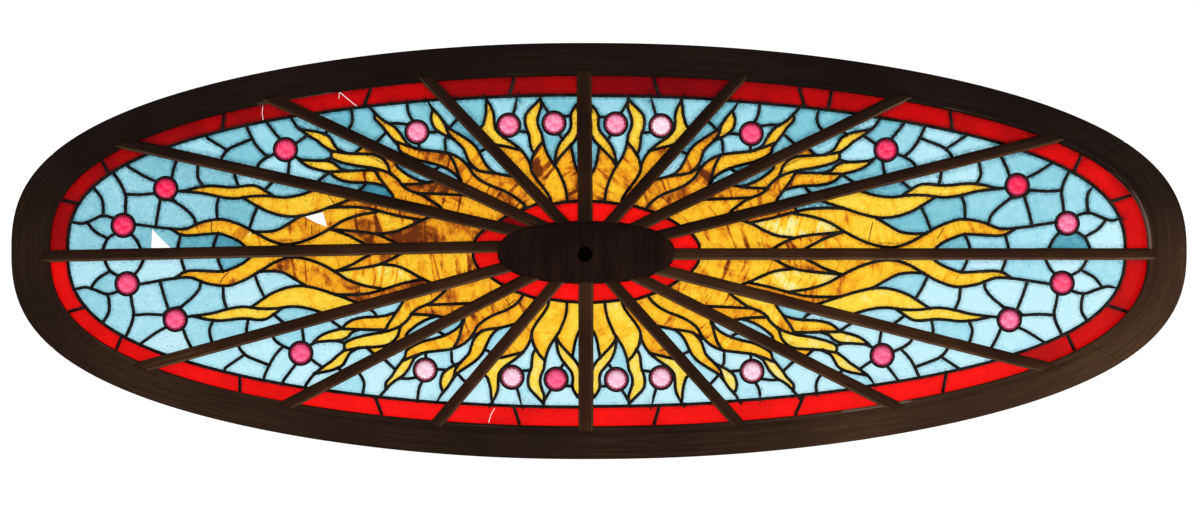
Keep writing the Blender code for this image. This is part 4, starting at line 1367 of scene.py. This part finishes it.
def leadFinish():
    # lead came gone dull black-grey, with paler tin where it is soldered or has been scraped
    made, add, shader = newMaterial("lead came and solder")
    place = add("TexCoord").outputs["Object"]
    tarnish = add("TexNoise", {"Vector": place, "Scale": 60.0, "Detail": 5.0, "Roughness": 0.65})  # 17 mm
    grey = add("ValToRGB", (tarnish,), ((0.3, "#1d1b1a"), (0.5, "#2e2b29"), (0.7, "#4a4744")))
    scrapeNoise = add("TexNoise", {"Vector": place, "Scale": 170.0, "Detail": 3.0, "Roughness": 0.6})  # 6 mm
    scrape = add("MapRange", (scrapeNoise, 0.66, 0.71))
    scraped = add("MixRGB", (scrape, grey, "#5d5a56"))
    rough = add("MapRange", (tarnish, 0.0, 1.0, 0.42, 0.72))
    pits = add("TexNoise", {"Vector": place, "Scale": 500.0})  # 2 mm
    bump = add("Bump", {"Height": pits, "Strength": 0.4, "Distance": 0.0003})
    setInputs(shader, {"Base Color": scraped, "Roughness": rough, "Normal": bump, "Metallic": 0.8})
    return made


leadMetal = leadFinish()


def cameProfile(width):
    # the H of a round came: two domed flanges and the heart between them
    half, edge, crown, heart = width / 2, cameShape["flangeEdge"], cameShape["crown"], cameShape["heart"]
    dome = [(-half, edge), (-half * 0.92, edge + 0.0008), (-half * 0.5, crown - 0.0005), (0, crown)]
    dome += [(-x, y) for x, y in reversed(dome[:-1])]
    waist = [(heart, edge - 0.0001), (heart, -edge + 0.0001)]
    section = dome + waist + [(-x, -y) for x, y in dome] + [(-x, -y) for x, y in waist]
    curve = bpy.data.curves.new("came profile", "CURVE")
    spline = curve.splines.new("POLY")
    spline.points.add(len(section) - 1)
    for point, (x, y) in zip(spline.points, section):
        point.co = (x, y, 0, 1)
    spline.use_cyclic_u = True
    return newObject("came profile", curve)


def cameMesh(lines, closed):
    # the profile drawn along each line, as a mesh on the plane of the glass
    profile = cameProfile(cameShape["ringWidth" if closed else "width"])
    curve = bpy.data.curves.new("cames", "CURVE")
    curve.dimensions = "3D"
    curve.twist_mode = "Z_UP"
    curve.bevel_mode = "OBJECT"
    curve.bevel_object = profile
    curve.use_fill_caps = True
    for line in lines:
        spline = curve.splines.new("POLY")
        spline.points.add(len(line) - 1)
        for point, spot in zip(spline.points, line):
            point.co = (spot.x, spot.y, 0, 1)
            point.radius = 1 + chance.uniform(-1, 1) * cameShape["unevenness"]
        spline.use_cyclic_u = closed
    carrier = newObject("cames", curve)
    graph = bpy.context.evaluated_depsgraph_get()
    mesh = bpy.data.meshes.new_from_object(carrier.evaluated_get(graph))
    upright = Matrix.Rotation(math.radians(90), 4, "X")
    mesh.transform(Matrix.Translation((0, cameShape["glassMiddle"], 0)) @ upright)
    for thing in (carrier, profile):
        data = thing.data
        bpy.data.objects.remove(thing)
        bpy.data.curves.remove(data)
    return mesh


def cames(light):
    lines, solder = leadLines(light)
    ring = paneShape["jewelWidth"] / 2 + paneShape["ringReach"]
    rings = [ringOf(middle, ring, 28) for middle in jewelPlaces(light)]
    bm = bmesh.new()
    for paths in (lines, [light.edgeLead()], rings):
        mesh = cameMesh(paths, closed=paths is not lines)
        bm.from_mesh(mesh)
        bpy.data.meshes.remove(mesh)
    bmesh.ops.remove_doubles(bm, verts=bm.verts[:], dist=1e-6)
    for spot in solder:
        radius = cameShape["solderWidth"] / 2 * chance.uniform(*cameShape["solderSizes"])
        shape = Matrix.Diagonal((radius, cameShape["solderCrown"], radius, 1))
        turn = Matrix.Rotation(chance.uniform(0, 3), 4, "Y")
        place = Matrix.Translation(inSpace(spot, cameShape["glassMiddle"])) @ turn @ shape
        bmesh.ops.create_icosphere(bm, subdivisions=2, radius=1, matrix=place)
    bmesh.ops.recalc_face_normals(bm, faces=bm.faces[:])
    addPiece("cames" + light.name, bm, [leadMetal], ["lead_" + light.name], sharpDegrees=50)


for light in lights:
    cames(light)
print("cames made")


# Putty on the back, round each light

puttyShape = {
    "front": -0.0205, "height": 0.009, "width": 0.0075,
    "overGlass": 0.0022,  # how far it runs down beside the edge of the glass
    "gap": 0.0029,  # from the edge of the glass to the rebate's wall
    "barGap": 0.0004,  # and to the bar's
    "hubGap": 0.0035,
}


def puttyFinish():
    # old linseed putty: stone grey, chalky and finely cracked
    made, add, shader = newMaterial("linseed putty")
    place = add("TexCoord").outputs["Object"]
    dirt = add("TexNoise", {"Vector": place, "Scale": 35.0, "Detail": 5.0})  # 29 mm
    grey = add("ValToRGB", (dirt,), ((0.3, "#5f584b"), (0.5, "#8c8474"), (0.7, "#aaa291")))
    cell = add("TexVoronoi", {"Vector": place, "Scale": 90.0}, feature="DISTANCE_TO_EDGE")  # 11 mm
    split = add("MapRange", (cell, 0.03, 0.0))
    cracked = add("MixRGB", (split, grey, "#3d372d"))
    bump = add("Bump", {"Height": dirt, "Strength": 0.5, "Distance": 0.0006})
    setInputs(shader, {"Base Color": cracked, "Normal": bump, "Roughness": 0.85})
    return made


puttyChalk = puttyFinish()


def puttyBead(light):
    front, rise, width = puttyShape["front"], puttyShape["height"], puttyShape["width"]
    outer = light.outline(-puttyShape["barGap"], -puttyShape["gap"], -puttyShape["hubGap"])
    bulge = light.outline(width * 0.45, width * 0.45 - 0.001, width * 0.45)
    inner = light.outline(width, width, width)
    under = front - puttyShape["overGlass"]
    section = [(outer, under), (outer, front + rise), (bulge, front + rise * 0.42), (inner, front)]
    section += [(inner, under), section[0]]
    count = len(section[0][0])

    def placeOf(i, j):
        path, depth = section[j]
        return inSpace(path[i % count], depth)

    bm = wrappedGrid(list(range(count + 1)), list(range(len(section))), placeOf, ends=False)
    addPiece("putty" + light.name, bm, [puttyChalk], [], sharpDegrees=50)


for light in lights:
    puttyBead(light)
print("putty run in")


# Floor, light and camera

studio = {
    "floorDrop": 1.0,
    "floorSize": (24.0, 22.0),
    "floorMiddleY": -1.2,
    "brightness": 1.08,  # of the white that shows behind the glass
    "fill": 0.33,  # of that white as it falls on the wood
    "gleam": 0.06,  # and as the glass and the wood reflect it
    "cameraPlace": (0.0068, -6.041, 0.3761),
    "lens": 90,
}


def paleFloor():
    made, add, shader = newMaterial("pale studio floor")
    place = add("TexCoord").outputs["Object"]
    mottle = add("TexNoise", {"Vector": place, "Scale": 3.0, "Detail": 4.0})  # 330 mm
    pale = add("ValToRGB", (mottle,), ((0.3, "#e9e6e0"), (0.7, "#f4f2ee")))
    path = add("LightPath").outputs
    seen = add("Math", (path["Is Camera Ray"], path["Is Transmission Ray"]), operation="MAXIMUM")
    glow = add("Math", (seen, 0.5), operation="MULTIPLY")
    setInputs(shader, {"Base Color": pale, "Roughness": 0.8})
    setInputs(shader, {"Emission Strength": glow, "Emission Color": "#ffffff"})
    bm = bmesh.new()
    bmesh.ops.create_grid(bm, x_segments=4, y_segments=4, size=0.5)
    bmesh.ops.scale(bm, vec=(*studio["floorSize"], 1), verts=bm.verts[:])
    bmesh.ops.translate(bm, vec=(0, studio["floorMiddleY"], -studio["floorDrop"]), verts=bm.verts[:])
    newObject("floor", meshOf("floor", bm, [made]))


def whiteRoom():
    world = bpy.data.worlds.new("white room")
    bpy.context.scene.world = world
    world.use_nodes = True
    add = partial(addNode, world.node_tree)
    path = add("LightPath").outputs
    seen = add("Math", (path["Is Camera Ray"], path["Is Transmission Ray"]), operation="MAXIMUM")
    lit = add("MapRange", (path["Is Diffuse Ray"], 0.0, 1.0, studio["gleam"], studio["fill"]))
    strength = add("MapRange", (seen, 0.0, 1.0, lit, studio["brightness"]))
    setInputs(world.node_tree.nodes["Background"], {"Color": "#ffffff", "Strength": strength})


def softLight(name, place, aim, size, watts, tint):
    data = bpy.data.lights.new(name, "AREA")
    data.shape = "RECTANGLE"
    data.size, data.size_y = size
    data.energy = watts
    data.color = colour(tint)[:3]
    lamp = newObject(name, data)
    lamp.location = place
    lamp.rotation_mode = "QUATERNION"
    lamp.rotation_quaternion = (Vector(aim) - Vector(place)).to_track_quat("-Z", "Y")


paleFloor()
whiteRoom()
softLight("lowRightSoftbox", (3.2, -3.4, -0.6), (0.7, 0, 0.2), (1.6, 1.2), 60, "#fff1e0")
softLight("highLeftSoftbox", (-2.6, -3.8, 2.6), (-0.3, 0, 0.4), (1.8, 1.2), 22, "#f2f6ff")

lens = bpy.data.cameras.new("camera")
lens.lens = studio["lens"]
camera = newObject("camera", lens)
camera.location = studio["cameraPlace"]
camera.rotation_euler = (math.radians(90), 0, 0)
bpy.context.scene.camera = camera
bpy.context.scene.view_settings.view_transform = "Standard"
print("studio set")
